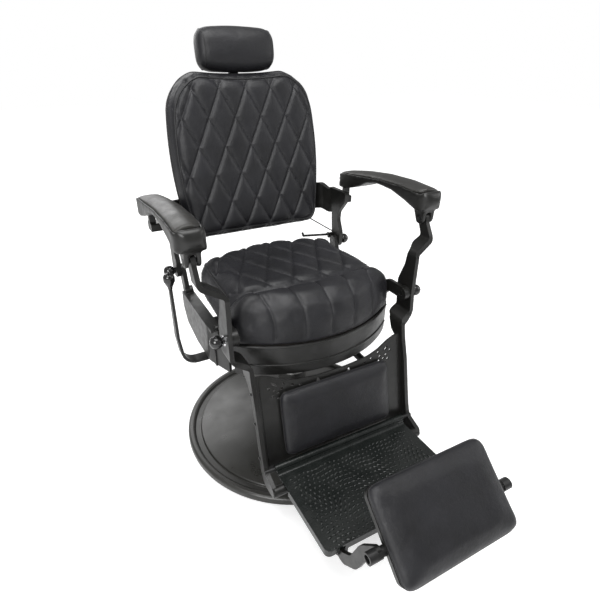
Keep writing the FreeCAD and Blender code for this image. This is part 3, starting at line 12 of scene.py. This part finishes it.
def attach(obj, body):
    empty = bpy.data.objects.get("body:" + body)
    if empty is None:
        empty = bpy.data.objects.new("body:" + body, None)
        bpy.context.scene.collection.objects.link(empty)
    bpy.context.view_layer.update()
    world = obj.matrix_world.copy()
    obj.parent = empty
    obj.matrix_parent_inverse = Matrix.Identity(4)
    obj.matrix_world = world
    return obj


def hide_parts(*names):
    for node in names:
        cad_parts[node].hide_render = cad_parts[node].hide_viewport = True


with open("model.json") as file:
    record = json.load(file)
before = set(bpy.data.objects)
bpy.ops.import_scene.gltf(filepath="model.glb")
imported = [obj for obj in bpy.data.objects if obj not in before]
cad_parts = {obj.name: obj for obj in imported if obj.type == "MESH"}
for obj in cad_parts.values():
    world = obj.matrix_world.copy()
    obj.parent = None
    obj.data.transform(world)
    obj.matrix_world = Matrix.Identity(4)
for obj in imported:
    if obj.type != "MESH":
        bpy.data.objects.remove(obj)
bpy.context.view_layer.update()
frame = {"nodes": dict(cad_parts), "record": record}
scene = bpy.context.scene

# Leaning faces shared with the CAD model, in metres and radians
BACK_ORIGIN, BACK_LEAN = Vector((0, 0.216, 0.587)), math.radians(10.6)
PANEL_ORIGIN, PANEL_LEAN = Vector((0, -0.296, 0.158)), math.radians(12.9)
PAD_ORIGIN, PAD_LEAN = Vector((0, -0.6765, 0.3085)), math.radians(90 - 42.2)

# Upholstery: diamonds of the quilting, the crossings of its seams, the sewn cords
QUILT_HALF_W, QUILT_ROW = 0.0415, 0.080
QUILT_RISE = 0.012
CROSSING_SINK, CROSSING_REACH = 0.0015, 0.008
CORD_STEP = 0.009
BACK_FOOT_DROP, BACK_FOOT_REACH = 0.010, 0.12

# Footplate: its upper face, and the spacing and extent of the raised drops
PLATE_TOP, PLATE_REAR, PLATE_LENGTH, PLATE_HALF_W = 0.164, -0.354, 0.240, 0.194
DROP_STEP = 0.0135

# Arm castings: the nose lies in front of this place and above this level
NOSE_REAR, NOSE_FOOT = -0.150, 0.778

# The part of a noise's range that is used, the gap under which points are merged, the cloth's steps
NOISE_MIDDLE = (0.3, 0.7)
WELD = 1e-5
CLOTH_STEPS = 20


def leaning(origin, lean):
    """A leaning face's origin, its direction up the face and its direction out of it."""
    return origin, Vector((0, math.sin(lean), math.cos(lean))), Vector((0, -math.cos(lean), math.sin(lean)))


BACK = leaning(BACK_ORIGIN, BACK_LEAN)
PANEL = leaning(PANEL_ORIGIN, PANEL_LEAN)
PAD = leaning(PAD_ORIGIN, PAD_LEAN)


# Finishes

class Finish:
    """A node material on Object coordinates, built up one layer at a time."""

    def __init__(self, name, colour, roughness, metallic=0.0):
        self.material = bpy.data.materials.new(name)
        self.material.use_nodes = True
        self.tree = self.material.node_tree
        self.shader = self.tree.nodes["Principled BSDF"]
        self.shader.inputs["Base Color"].default_value = (*colour, 1)
        self.shader.inputs["Roughness"].default_value = roughness
        self.shader.inputs["Metallic"].default_value = metallic
        self.coords = self.tree.nodes.new("ShaderNodeTexCoord").outputs["Object"]
        self.relief = None

    def link(self, source, target):
        self.tree.links.new(source, target)

    def noise(self, scale, detail, stretch=None):
        node = self.tree.nodes.new("ShaderNodeTexNoise")
        node.inputs["Scale"].default_value = scale
        node.inputs["Detail"].default_value = detail
        self.link(self.stretched(stretch), node.inputs["Vector"])
        return node.outputs["Fac"]

    def cells(self, scale):
        node = self.tree.nodes.new("ShaderNodeTexVoronoi")
        node.inputs["Scale"].default_value = scale
        self.link(self.coords, node.inputs["Vector"])
        return node.outputs["Distance"]

    def stretched(self, stretch):
        if stretch is None:
            return self.coords
        node = self.tree.nodes.new("ShaderNodeMapping")
        node.inputs["Scale"].default_value = stretch
        self.link(self.coords, node.inputs["Vector"])
        return node.outputs["Vector"]

    def spread(self, value, low, high):
        """Maps the middle of a noise's range to the given one."""
        node = self.tree.nodes.new("ShaderNodeMapRange")
        node.inputs["From Min"].default_value, node.inputs["From Max"].default_value = NOISE_MIDDLE
        node.inputs["To Min"].default_value, node.inputs["To Max"].default_value = low, high
        self.link(value, node.inputs["Value"])
        return node.outputs["Result"]

    def tones(self, value, dark, light):
        node = self.tree.nodes.new("ShaderNodeMix")
        node.data_type = "RGBA"
        node.inputs["A"].default_value = (*dark, 1)
        node.inputs["B"].default_value = (*light, 1)
        self.link(self.spread(value, 0, 1), node.inputs["Factor"])
        self.link(node.outputs["Result"], self.shader.inputs["Base Color"])
        return self

    def patches(self, value, low, high):
        self.link(self.spread(value, low, high), self.shader.inputs["Roughness"])
        return self

    def raised(self, value, height):
        node = self.tree.nodes.new("ShaderNodeBump")
        node.inputs["Strength"].default_value = 1.0
        node.inputs["Distance"].default_value = height
        self.link(value, node.inputs["Height"])
        if self.relief is not None:
            self.link(self.relief, node.inputs["Normal"])
        self.relief = node.outputs["Normal"]
        self.link(self.relief, self.shader.inputs["Normal"])
        return self

    def soft_edges(self, radius):
        node = self.tree.nodes.new("ShaderNodeBevel")
        node.samples = 4
        node.inputs["Radius"].default_value = radius
        self.relief = node.outputs["Normal"]
        self.link(self.relief, self.shader.inputs["Normal"])
        return self

    def coat(self, weight, roughness):
        self.shader.inputs["Coat Weight"].default_value = weight
        self.shader.inputs["Coat Roughness"].default_value = roughness
        return self

    def shine(self, level):
        self.shader.inputs["Specular IOR Level"].default_value = level
        return self

    def sheen(self, weight, roughness, tint):
        self.shader.inputs["Sheen Weight"].default_value = weight
        self.shader.inputs["Sheen Roughness"].default_value = roughness
        self.shader.inputs["Sheen Tint"].default_value = (*tint, 1)
        return self


def black_leather():
    f = Finish("black_leather", (0.010, 0.010, 0.012), 0.42)
    f.tones(f.noise(14, 4), (0.007, 0.007, 0.0082), (0.012, 0.012, 0.0145))
    f.patches(f.noise(38, 5), 0.38, 0.52)
    f.raised(f.noise(120, 3), 0.0006)
    f.raised(f.cells(720), 0.00022)
    f.raised(f.noise(1900, 2), 0.00008)
    return f.shine(0.42).sheen(0.03, 0.45, (0.6, 0.6, 0.66)).material


def piping_leather():
    f = Finish("piping_leather", (0.010, 0.010, 0.011), 0.45)
    f.tones(f.noise(60, 3), (0.007, 0.007, 0.008), (0.013, 0.013, 0.014))
    f.patches(f.noise(200, 3), 0.38, 0.55)
    return f.raised(f.cells(900), 0.00015).material


def cast_enamel(name, dark, light, rough, height=0.00012):
    """Satin enamel over a sand casting."""
    f = Finish(name, light, rough[0])
    f.soft_edges(0.0016)
    f.tones(f.noise(9, 5), dark, light)
    f.patches(f.noise(55, 4), *rough)
    f.raised(f.noise(260, 3), height)
    return f.raised(f.noise(30, 2), height * 3).material


def base_enamel():
    f = Finish("base_enamel", (0.02, 0.02, 0.019), 0.3)
    f.soft_edges(0.002)
    f.tones(f.noise(6, 5), (0.016, 0.016, 0.014), (0.030, 0.029, 0.026))
    f.patches(f.noise(18, 5), 0.26, 0.42)
    f.raised(f.noise(340, 2), 0.00006)
    return f.coat(0.25, 0.2).material


def foot_enamel():
    f = Finish("foot_enamel", (0.012, 0.014, 0.013), 0.3)
    f.soft_edges(0.0016)
    f.tones(f.noise(12, 4), (0.005, 0.0065, 0.006), (0.011, 0.013, 0.012))
    f.patches(f.noise(40, 4), 0.18, 0.32)
    f.raised(f.noise(150, 3), 0.0003)
    return f.material


def moulded_pad():
    f = Finish("moulded_pad", (0.02, 0.0195, 0.018), 0.42)
    f.tones(f.noise(10, 4), (0.016, 0.0155, 0.0145), (0.026, 0.025, 0.0225))
    f.patches(f.noise(50, 4), 0.36, 0.5)
    f.raised(f.noise(900, 2), 0.00006)
    return f.raised(f.noise(60, 2), 0.0003).material


def knob_black():
    f = Finish("knob_black", (0.008, 0.008, 0.008), 0.16)
    f.patches(f.noise(120, 3), 0.12, 0.24)
    f.raised(f.noise(60, 2), 0.0001)
    return f.coat(0.4, 0.08).material


def turned_steel():
    f = Finish("turned_steel", (0.55, 0.55, 0.54), 0.32, 1.0)
    f.tones(f.noise(40, 3, (1, 1, 12)), (0.46, 0.46, 0.45), (0.60, 0.60, 0.59))
    f.patches(f.noise(300, 2, (1, 1, 9)), 0.25, 0.4)
    return f.raised(f.noise(700, 2, (1, 1, 14)), 0.00004).material


def plated_chrome():
    f = Finish("plated_chrome", (0.75, 0.75, 0.76), 0.08, 1.0)
    f.patches(f.noise(90, 4), 0.05, 0.14)
    return f.raised(f.noise(40, 2), 0.00004).material


def rubber():
    f = Finish("rubber", (0.012, 0.012, 0.012), 0.75)
    f.tones(f.noise(30, 4), (0.009, 0.009, 0.009), (0.018, 0.018, 0.017))
    f.patches(f.noise(90, 3), 0.65, 0.85)
    return f.raised(f.noise(700, 3), 0.00012).material


def stained_plywood():
    f = Finish("stained_plywood", (0.016, 0.014, 0.012), 0.6)
    f.tones(f.noise(14, 6, (1, 9, 1)), (0.010, 0.009, 0.008), (0.024, 0.020, 0.016))
    f.patches(f.noise(40, 4), 0.5, 0.7)
    return f.raised(f.noise(90, 4, (1, 12, 1)), 0.0003).material


def grained_cover():
    f = Finish("grained_cover", (0.015, 0.015, 0.015), 0.55)
    f.tones(f.noise(16, 3), (0.011, 0.011, 0.011), (0.020, 0.020, 0.020))
    f.patches(f.noise(60, 3), 0.48, 0.62)
    return f.raised(f.cells(620), 0.0003).material


def bronze():
    f = Finish("bearing_bronze", (0.55, 0.40, 0.2), 0.35, 1.0)
    f.tones(f.noise(80, 3), (0.44, 0.31, 0.15), (0.60, 0.44, 0.23))
    return f.patches(f.noise(200, 3), 0.28, 0.45).material


FINISHES = {
    "cast_black": cast_enamel("cast_enamel", (0.006, 0.006, 0.0055), (0.0105, 0.0103, 0.0095),
                              rough=(0.28, 0.42)),
    "base_black": base_enamel(),
    "steel_black": cast_enamel("bar_enamel", (0.008, 0.008, 0.008), (0.012, 0.012, 0.012),
                               rough=(0.30, 0.42), height=0.00006),
    "steel": turned_steel(),
    "chrome": plated_chrome(),
    "rubber": rubber(),
    "leather": black_leather(),
    "pad_black": moulded_pad(),
    "knob_black": knob_black(),
    "board": stained_plywood(),
    "cover": grained_cover(),
    "bearing": bronze(),
}
PIPING = piping_leather()
FOOT_FINISH = foot_enamel()

for part in frame["record"]["subparts"]:
    for held in frame["nodes"][part["node"]].material_slots:
        held.material = FINISHES[part["material_slot"]]
for held in frame["nodes"]["footplate"].material_slots:
    held.material = FOOT_FINISH


# Working on meshes

def piece(name, mesh, material, body):
    """A piece of the scene's own, on its body and in its slot."""
    obj = bpy.data.objects.new(name, mesh)
    scene.collection.objects.link(obj)
    mesh.materials.clear()
    mesh.materials.append(material)
    mesh.shade_smooth()
    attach(obj, body)


def merged(node):
    """A closed copy of a CAD node's mesh."""
    bm = bmesh.new()
    bm.from_mesh(frame["nodes"][node].data)
    bmesh.ops.remove_doubles(bm, verts=bm.verts, dist=WELD)
    return bm


def working_copy(node, name):
    bm = merged(node)
    mesh = bpy.data.meshes.new(name)
    bm.to_mesh(mesh)
    bm.free()
    obj = bpy.data.objects.new(name, mesh)
    scene.collection.objects.link(obj)
    return obj


def settle(obj):
    """Applies the object's modifiers to its mesh."""
    seen = obj.evaluated_get(bpy.context.evaluated_depsgraph_get())
    mesh = bpy.data.meshes.new_from_object(seen)
    obj.modifiers.clear()
    obj.data = mesh


def skin(obj, voxel):
    """Covers the object in even quads."""
    cover = obj.modifiers.new("skin", "REMESH")
    cover.mode = "VOXEL"
    cover.voxel_size = voxel
    settle(obj)


def relax(obj, times, within=None):
    """Evens the mesh out, everywhere or only where a test on its points holds."""
    bm = bmesh.new()
    bm.from_mesh(obj.data)
    eased = [v for v in bm.verts if within is None or within(v)]
    for _ in range(times):
        bmesh.ops.smooth_vert(bm, verts=eased, factor=0.5,
                              use_axis_x=True, use_axis_y=True, use_axis_z=True)
    bm.to_mesh(obj.data)
    bm.free()


def refine(obj):
    obj.modifiers.new("refine", "SUBSURF").levels = 1
    settle(obj)


def points(obj):
    co = np.empty(len(obj.data.vertices) * 3)
    obj.data.vertices.foreach_get("co", co)
    return co.reshape(-1, 3)


def normals(obj):
    no = np.empty(len(obj.data.vertices) * 3)
    obj.data.vertices.foreach_get("normal", no)
    return no.reshape(-1, 3)


def set_points(obj, co):
    obj.data.vertices.foreach_set("co", co.ravel())
    obj.data.update()


def swell(obj, pressure, cap, held=None):
    """Blows the cover up as cloth; no point moves further than the cap, and held points stay."""
    start = points(obj)
    cloth = obj.modifiers.new("cloth", "CLOTH")
    cloth.settings.use_pressure = True
    cloth.settings.uniform_pressure_force = pressure
    cloth.settings.quality = 5
    cloth.settings.tension_stiffness = 12
    cloth.settings.compression_stiffness = 12
    cloth.settings.effector_weights.gravity = 0
    cloth.collision_settings.use_collision = False
    if held is not None:
        group = obj.vertex_groups.new(name="held")
        group.add([int(i) for i in np.flatnonzero(held)], 1.0, "REPLACE")
        cloth.settings.vertex_group_mass = "held"
    for step in range(1, CLOTH_STEPS + 1):
        scene.frame_set(step)
    seen = obj.evaluated_get(bpy.context.evaluated_depsgraph_get())
    end = points(seen)
    obj.modifiers.clear()
    obj.vertex_groups.clear()
    scene.frame_set(1)
    move = end - start
    far = np.linalg.norm(move, axis=1, keepdims=True)
    set_points(obj, start + move * np.minimum(1, cap / np.maximum(far, 1e-9)))


def stuffed(node, name, voxel, smooth, shrink, pressure, cap, ease, fullness, held=None):
    """A padded piece from its CAD solid: covered in cloth, smoothed, taken in and blown up."""
    obj = working_copy(node, name)
    skin(obj, voxel)
    relax(obj, smooth)
    co, no = points(obj), normals(obj)
    fixed = None if held is None else held(co)
    take_in = np.full(len(co), shrink) if fixed is None else np.where(fixed, 0, shrink)
    set_points(obj, co - no * take_in[:, None])
    swell(obj, pressure, cap, fixed)
    relax(obj, ease)
    refine(obj)
    co, no = points(obj), normals(obj)
    set_points(obj, co + no * fullness)
    return obj


def finish_soft(obj, node, body, material):
    """Puts a padded piece in the place of its CAD node."""
    mesh = obj.data
    mesh.materials.clear()
    mesh.materials.append(material)
    mesh.shade_smooth()
    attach(obj, body)
    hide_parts(node)


def in_face(co, face):
    """Across, up and out coordinates of points on a leaning face."""
    origin, up, out = face
    local = co - np.array(origin)
    return local[:, 0], local @ np.array(up), local @ np.array(out)


def quilt_gap(x, v, origin):
    """Distances to the nearer and the farther seam of a diamond quilting."""
    slope = QUILT_HALF_W / QUILT_ROW
    run = math.hypot(slope, 1)
    gaps = []
    for sign in (-1, 1):
        along = x - sign * slope * (v - origin)
        gaps.append(np.abs((along + QUILT_HALF_W) % (2 * QUILT_HALF_W) - QUILT_HALF_W) / run)
    return np.minimum(*gaps), np.maximum(*gaps)


def quilted(line, crossing, plump, sink, sink_reach):
    """How far a quilted cover stands off the plain one, from the distances to its seams."""
    full = plump * (1 - np.exp(-line / QUILT_RISE))
    drawn_in = sink * np.exp(-line / sink_reach) + CROSSING_SINK * np.exp(-crossing / CROSSING_REACH)
    return full - drawn_in


def smooth_step(t):
    t = np.clip(t, 0, 1)
    return t * t * (3 - 2 * t)


# Seams: a cord sewn into the cover, laid along a flat cut through the CAD node's mesh

def level_loop(node, point, normal):
    """Points in order round the longest outline of a node on one plane."""
    bm = merged(node)
    cut = bmesh.ops.bisect_plane(bm, geom=bm.verts[:] + bm.edges[:] + bm.faces[:], dist=1e-6,
                                 plane_co=point, plane_no=normal, clear_inner=True, clear_outer=True)
    edges = [e for e in cut["geom_cut"] if isinstance(e, bmesh.types.BMEdge)]
    loops, used = [], set()
    for first in edges:
        if first in used:
            continue
        used.add(first)
        vert = first.verts[1]
        loop = [first.verts[0].co.copy(), vert.co.copy()]
        while ahead := [e for e in vert.link_edges if e not in used]:
            used.add(ahead[0])
            vert = ahead[0].other_vert(vert)
            loop.append(vert.co.copy())
        loops.append(loop)
    bm.free()
    return max(loops, key=len)


def even_steps(loop, step):
    """Points at even distances along a loop."""
    out, left = [loop[0]], step
    for a, b in zip(loop, loop[1:]):
        run = (b - a).length
        while run > left:
            a = a + (b - a) * (left / run)
            out.append(a.copy())
            run = (b - a).length
            left = step
        left -= run
    return out


def laid(obj, loop, lift, closed=True):
    """The loop brought onto a cushion's surface and evened out."""
    bm = bmesh.new()
    bm.from_mesh(obj.data)
    surface = BVHTree.FromBMesh(bm)
    bm.free()
    spots = even_steps(loop, CORD_STEP)
    for _ in range(3):
        spots = [surface.find_nearest(p)[0] for p in spots]
        ahead, behind = spots[1:] + spots[:1], spots[-1:] + spots[:-1]
        if not closed:
            ahead[-1], behind[0] = spots[-1], spots[0]
        spots = [(a + b + c) / 3 for a, b, c in zip(spots, ahead, behind)]
    found = [surface.find_nearest(p) for p in spots]
    return [place + normal * lift for place, normal, _, _ in found]


def away_from(co, loop):
    """How far each point is from a loop."""
    near = KDTree(len(loop))
    for i, p in enumerate(loop):
        near.insert(p, i)
    near.balance()
    return np.array([near.find(p)[2] for p in co])


def piped(name, pts, radius, body, closed=True):
    """A round cord through points laid on a cushion."""
    curve = bpy.data.curves.new(name + "_line", "CURVE")
    curve.dimensions = "3D"
    curve.bevel_depth = radius
    curve.bevel_resolution = 2
    curve.resolution_u = 3
    curve.use_fill_caps = not closed
    line = curve.splines.new("NURBS")
    line.points.add(len(pts) - 1)
    for spot, p in zip(line.points, pts):
        spot.co = (*p, 1)
    line.order_u = 4
    line.use_cyclic_u = closed
    line.use_endpoint_u = not closed
    drawn = bpy.data.objects.new(name + "_line", curve)
    scene.collection.objects.link(drawn)
    seen = drawn.evaluated_get(bpy.context.evaluated_depsgraph_get())
    mesh = bpy.data.meshes.new_from_object(seen)
    bpy.data.objects.remove(drawn)
    piece(name, mesh, PIPING, body)


# Back: quilted face, plain boxing, a corded seam where they meet

def back_cushion():
    origin, up, out = BACK
    obj = stuffed("back_cushion", "back_pad", voxel=0.005, smooth=5, shrink=0.002, pressure=4.0,
                  cap=0.005, ease=6, fullness=0.002, held=lambda co: in_face(co, BACK)[2] < -0.053)
    co = points(obj)
    v = in_face(co, BACK)[1]
    low = 1 - smooth_step((v - v.min()) / BACK_FOOT_REACH)
    set_points(obj, co - np.array(up) * (BACK_FOOT_DROP * low)[:, None])
    face_seam = laid(obj, level_loop("back_cushion", origin + out * -0.0045, out), 0.0006)
    rear_seam = laid(obj, level_loop("back_cushion", origin + out * -0.050, out), 0.0004)
    co, no = points(obj), normals(obj)
    x, v, _ = in_face(co, BACK)
    facing = smooth_step((no @ np.array(out) - 0.35) / 0.35)
    inside = smooth_step((away_from(co, face_seam) - 0.003) / 0.010)
    line, crossing = quilt_gap(x, v, 2 * QUILT_ROW)
    move = quilted(line, crossing, plump=0.0035, sink=0.0050, sink_reach=0.0050) * (facing * inside)
    set_points(obj, co + no * move[:, None])
    finish_soft(obj, "back_cushion", "back", FINISHES["leather"])
    piped("back_face_piping", face_seam, 0.0026, "back")
    piped("back_rear_piping", rear_seam, 0.0020, "back")


# Seat: quilted top, a roll along the front sewn in channels

CHANNELS = (-0.168, -0.084, 0, 0.084, 0.168)
SEAT_HALF_W = 0.24
SEAT_RIM_LEVEL, SEAT_FOOT_LEVEL, SIDE_SEAM_FRONT = 0.586, 0.487, -0.085
ROLL_SEAM_Y, ROLL_SEAM_BOW = -0.118, 0.030


def roll_seam(x):
    """Where the seam behind the front roll lies; it bows back towards the sides."""
    return ROLL_SEAM_Y + ROLL_SEAM_BOW * (x / SEAT_HALF_W) ** 2


def seat_side_line():
    """The seat's upper edge, round the sides and the rear as far forward as the roll."""
    loop = level_loop("seat_cushion", Vector((0, 0, SEAT_RIM_LEVEL)), Vector((0, 0, 1)))
    side = [p for p in loop if p.y > SIDE_SEAM_FRONT]
    start = max(range(len(side)), key=lambda i: (side[i] - side[i - 1]).length)
    return side[start:] + side[:start]


def seat_cushion():
    obj = stuffed("seat_cushion", "seat_pad", voxel=0.006, smooth=10, shrink=0.003, pressure=4.0,
                  cap=0.010, ease=5, fullness=0.003, held=lambda co: co[:, 2] < SEAT_FOOT_LEVEL)
    rim = set(np.flatnonzero(away_from(points(obj), seat_side_line()) < 0.026).tolist())
    relax(obj, 45, within=lambda v: v.index in rim)
    co, no = points(obj), normals(obj)
    x, y, z = co.T
    top = smooth_step((no[:, 2] - 0.45) / 0.35)
    behind = smooth_step((y - roll_seam(x) - 0.006) / 0.012)
    side_seam = laid(obj, seat_side_line(), 0.0008, closed=False)
    inside = smooth_step((away_from(co, side_seam) - 0.004) / 0.014)
    line, crossing = quilt_gap(x, y, 0.0)
    quilt = quilted(line, crossing, plump=0.0028, sink=0.0046, sink_reach=0.0055)
    move = quilt * top * behind * inside
    seam = np.abs(y - roll_seam(x))
    upward = smooth_step((no[:, 2] - 0.1) / 0.4)
    move -= 0.0085 * np.exp(-seam / 0.009) * upward * smooth_step((z - 0.55) / 0.02)
    front = 1 - smooth_step((y - roll_seam(x) + 0.004) / 0.010)
    high = smooth_step((z - 0.486) / 0.02)
    for at in CHANNELS:
        gap = np.abs(x - at * (1 - 0.10 * smooth_step((-y - 0.12) / 0.12)))
        move -= (0.0042 * np.exp(-gap / 0.0045) + 0.0015 * np.exp(-gap / 0.02)) * front * high
    set_points(obj, co + no * move[:, None])
    finish_soft(obj, "seat_cushion", "seat", FINISHES["leather"])
    piped("seat_side_piping", side_seam, 0.0022, "seat", closed=False)


def headrest():
    obj = stuffed("headrest_cushion", "headrest_pad", voxel=0.005, smooth=8, shrink=0.002,
                  pressure=4.0, cap=0.006, ease=5, fullness=0.0045)
    co = points(obj)
    set_points(obj, co + np.array((0, 0, 0.003)))
    finish_soft(obj, "headrest_cushion", "headrest", FINISHES["leather"])
    for side, name in ((-1, "right"), (1, "left")):
        loop = level_loop("headrest_cushion", Vector((side * 0.103, 0, 0)), Vector((1, 0, 0)))
        piped("headrest_piping_" + name, laid(obj, loop, 0.0002), 0.0016, "headrest")


def flat_pad(node, name, body, face, seat_out, cap, seam_out, seam_radius):
    """A plain cushion on a board, with a corded seam round its edge."""
    origin, _, out = face
    obj = stuffed(node, name, voxel=0.005, smooth=6, shrink=0.001, pressure=2.0, cap=cap, ease=12,
                  fullness=0.002, held=lambda co: in_face(co, face)[2] < seat_out)
    finish_soft(obj, node, body, FINISHES["leather"])
    seam = laid(obj, level_loop(node, origin + out * seam_out, out), 0.0002)
    piped(name + "_piping", seam, seam_radius, body)


def arm_pads():
    for side in ("left", "right"):
        obj = working_copy("arm_pad_" + side, "arm_rest_pad_" + side)
        skin(obj, 0.0032)
        relax(obj, 8)
        refine(obj)
        finish_soft(obj, "arm_pad_" + side, "arm_" + side, FINISHES["pad_black"])


def arm_castings():
    """The arm castings with the rounded edges and the full nose of a sand casting."""
    for side in ("left", "right"):
        obj = working_copy("arm_casting_" + side, "arm_body_" + side)
        skin(obj, 0.0024)
        relax(obj, 9)
        relax(obj, 40, within=lambda v: v.co.y < NOSE_REAR and v.co.z > NOSE_FOOT)
        mesh = obj.data
        mesh.materials.clear()
        mesh.materials.append(FINISHES["cast_black"])
        mesh.shade_smooth()
        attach(obj, "arm_" + side)
        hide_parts("arm_casting_" + side)


# Footplate relief: rows of raised drops that wander over the plate

def footplate_drops():
    bm = bmesh.new()
    columns = int(PLATE_HALF_W / DROP_STEP)
    for row in range(int(PLATE_LENGTH / DROP_STEP)):
        y = PLATE_REAR - row * DROP_STEP
        for column in range(-columns, columns + 1):
            x = column * DROP_STEP + (DROP_STEP / 2 if row % 2 else 0)
            if abs(x) > PLATE_HALF_W:
                continue
            turn = math.radians(75) * math.sin(x * 17 + 1.3) * math.cos(y * 21) + math.radians(25)
            length = 0.0058 + 0.0026 * math.sin(x * 61 + y * 47)
            place = (x + 0.0022 * math.sin(y * 90), y + 0.0022 * math.cos(x * 80), PLATE_TOP)
            shape = (Matrix.Translation(place) @ Matrix.Rotation(turn, 4, "Z")
                     @ Matrix.Diagonal((length, 0.0032, 0.0025, 1)))
            bmesh.ops.create_uvsphere(bm, u_segments=8, v_segments=6, radius=1.0, matrix=shape)
    bmesh.ops.bisect_plane(bm, geom=bm.verts[:] + bm.edges[:] + bm.faces[:],
                           plane_co=(0, 0, PLATE_TOP - 0.0003), plane_no=(0, 0, 1), clear_inner=True)
    mesh = bpy.data.meshes.new("footplate_drops")
    bm.to_mesh(mesh)
    bm.free()
    piece("footplate_drops", mesh, FOOT_FINISH, "footplate")


back_cushion()
seat_cushion()
headrest()
flat_pad("calf_cushion", "calf_pad", "legrest", PANEL, seat_out=0.003, cap=0.0025, seam_out=0.006,
         seam_radius=0.0014)
flat_pad("flip_pad_cushion", "foot_pad", "flip_pad", PAD, seat_out=0.009, cap=0.0025, seam_out=0.0105,
         seam_radius=0.0016)
arm_pads()
arm_castings()
footplate_drops()


# Floor, light and camera

# The room lights the chair softly, while camera rays see it white
world = bpy.data.worlds.new("studio")
scene.world = world
world.use_nodes = True
tree = world.node_tree
room = tree.nodes["Background"]
room.inputs["Color"].default_value = (1, 1, 1, 1)
room.inputs["Strength"].default_value = 0.40
backdrop = tree.nodes.new("ShaderNodeBackground")
backdrop.inputs["Color"].default_value = (1, 1, 1, 1)
backdrop.inputs["Strength"].default_value = 1.0
seen = tree.nodes.new("ShaderNodeMixShader")
tree.links.new(tree.nodes.new("ShaderNodeLightPath").outputs["Is Camera Ray"], seen.inputs["Fac"])
tree.links.new(room.outputs[0], seen.inputs[1])
tree.links.new(backdrop.outputs[0], seen.inputs[2])
tree.links.new(seen.outputs[0], tree.nodes["World Output"].inputs["Surface"])

bm = bmesh.new()
bmesh.ops.create_grid(bm, x_segments=1, y_segments=1, size=12)
floor_mesh = bpy.data.meshes.new("floor")
bm.to_mesh(floor_mesh)
bm.free()
floor = bpy.data.objects.new("floor", floor_mesh)
scene.collection.objects.link(floor)
floor_finish = bpy.data.materials.new("floor_white")
floor_finish.use_nodes = True
tree = floor_finish.node_tree
painted = tree.nodes["Principled BSDF"]
painted.inputs["Base Color"].default_value = (0.93, 0.93, 0.93, 1)
painted.inputs["Roughness"].default_value = 0.9
painted.inputs["Specular IOR Level"].default_value = 0.0
painted.inputs["Emission Color"].default_value = (1, 1, 1, 1)
# To camera rays the floor glows more with distance, so that it runs into the white room
reach = tree.nodes.new("ShaderNodeVectorMath")
reach.operation = "LENGTH"
tree.links.new(tree.nodes.new("ShaderNodeTexCoord").outputs["Object"], reach.inputs[0])
fade = tree.nodes.new("ShaderNodeMapRange")
fade.inputs["From Min"].default_value, fade.inputs["From Max"].default_value = 0.8, 3.0
fade.inputs["To Min"].default_value, fade.inputs["To Max"].default_value = 0.36, 0.74
tree.links.new(reach.outputs["Value"], fade.inputs["Value"])
lift = tree.nodes.new("ShaderNodeMath")
lift.operation = "MULTIPLY"
tree.links.new(tree.nodes.new("ShaderNodeLightPath").outputs["Is Camera Ray"], lift.inputs[0])
tree.links.new(fade.outputs["Result"], lift.inputs[1])
tree.links.new(lift.outputs[0], painted.inputs["Emission Strength"])
floor_mesh.materials.append(floor_finish)


def soft_box(name, place, aim, size, power):
    light = bpy.data.lights.new(name, "AREA")
    light.shape = "DISK"
    light.size = size
    light.energy = power
    obj = bpy.data.objects.new(name, light)
    scene.collection.objects.link(obj)
    obj.location = place
    obj.rotation_euler = (Vector(aim) - Vector(place)).to_track_quat("-Z", "Y").to_euler()


soft_box("overhead", (-0.3, -0.4, 3.2), (0, 0, 0.5), 2.4, 66)
soft_box("front_left", (-2.4, -2.2, 2.2), (0, 0, 0.5), 1.8, 76)
soft_box("right_fill", (2.6, -1.2, 1.8), (0, 0, 0.5), 2.0, 18)
soft_box("rear", (-0.3, 2.8, 2.0), (-0.1, 0, 0.6), 2.0, 25)

# The camera fitted to the photo: its bearing, its distance and the spot it looks along
AZIMUTH, ELEVATION, ROLL = math.radians(-27.99), math.radians(29.26), math.radians(0.35)
DISTANCE, LOOK_AT = 1.413, Vector((-0.001, 0, 0.451))
back_way = Vector((math.sin(AZIMUTH) * math.cos(ELEVATION), -math.cos(AZIMUTH) * math.cos(ELEVATION),
                   math.sin(ELEVATION)))
across = Vector((0, 0, 1)).cross(back_way).normalized()
upward = back_way.cross(across)
right = across * math.cos(ROLL) + upward * math.sin(ROLL)
up_view = upward * math.cos(ROLL) - across * math.sin(ROLL)
camera = bpy.data.cameras.new("camera")
camera.lens = 27.318
camera.sensor_width = 36
camera.shift_x = 0.0135
camera.shift_y = 0.0168
holder = bpy.data.objects.new("camera", camera)
scene.collection.objects.link(holder)
bearing = Matrix((right, up_view, back_way)).transposed().to_4x4()
holder.matrix_world = Matrix.Translation(LOOK_AT + back_way * DISTANCE) @ bearing
scene.camera = holder
scene.view_settings.view_transform = "Standard"
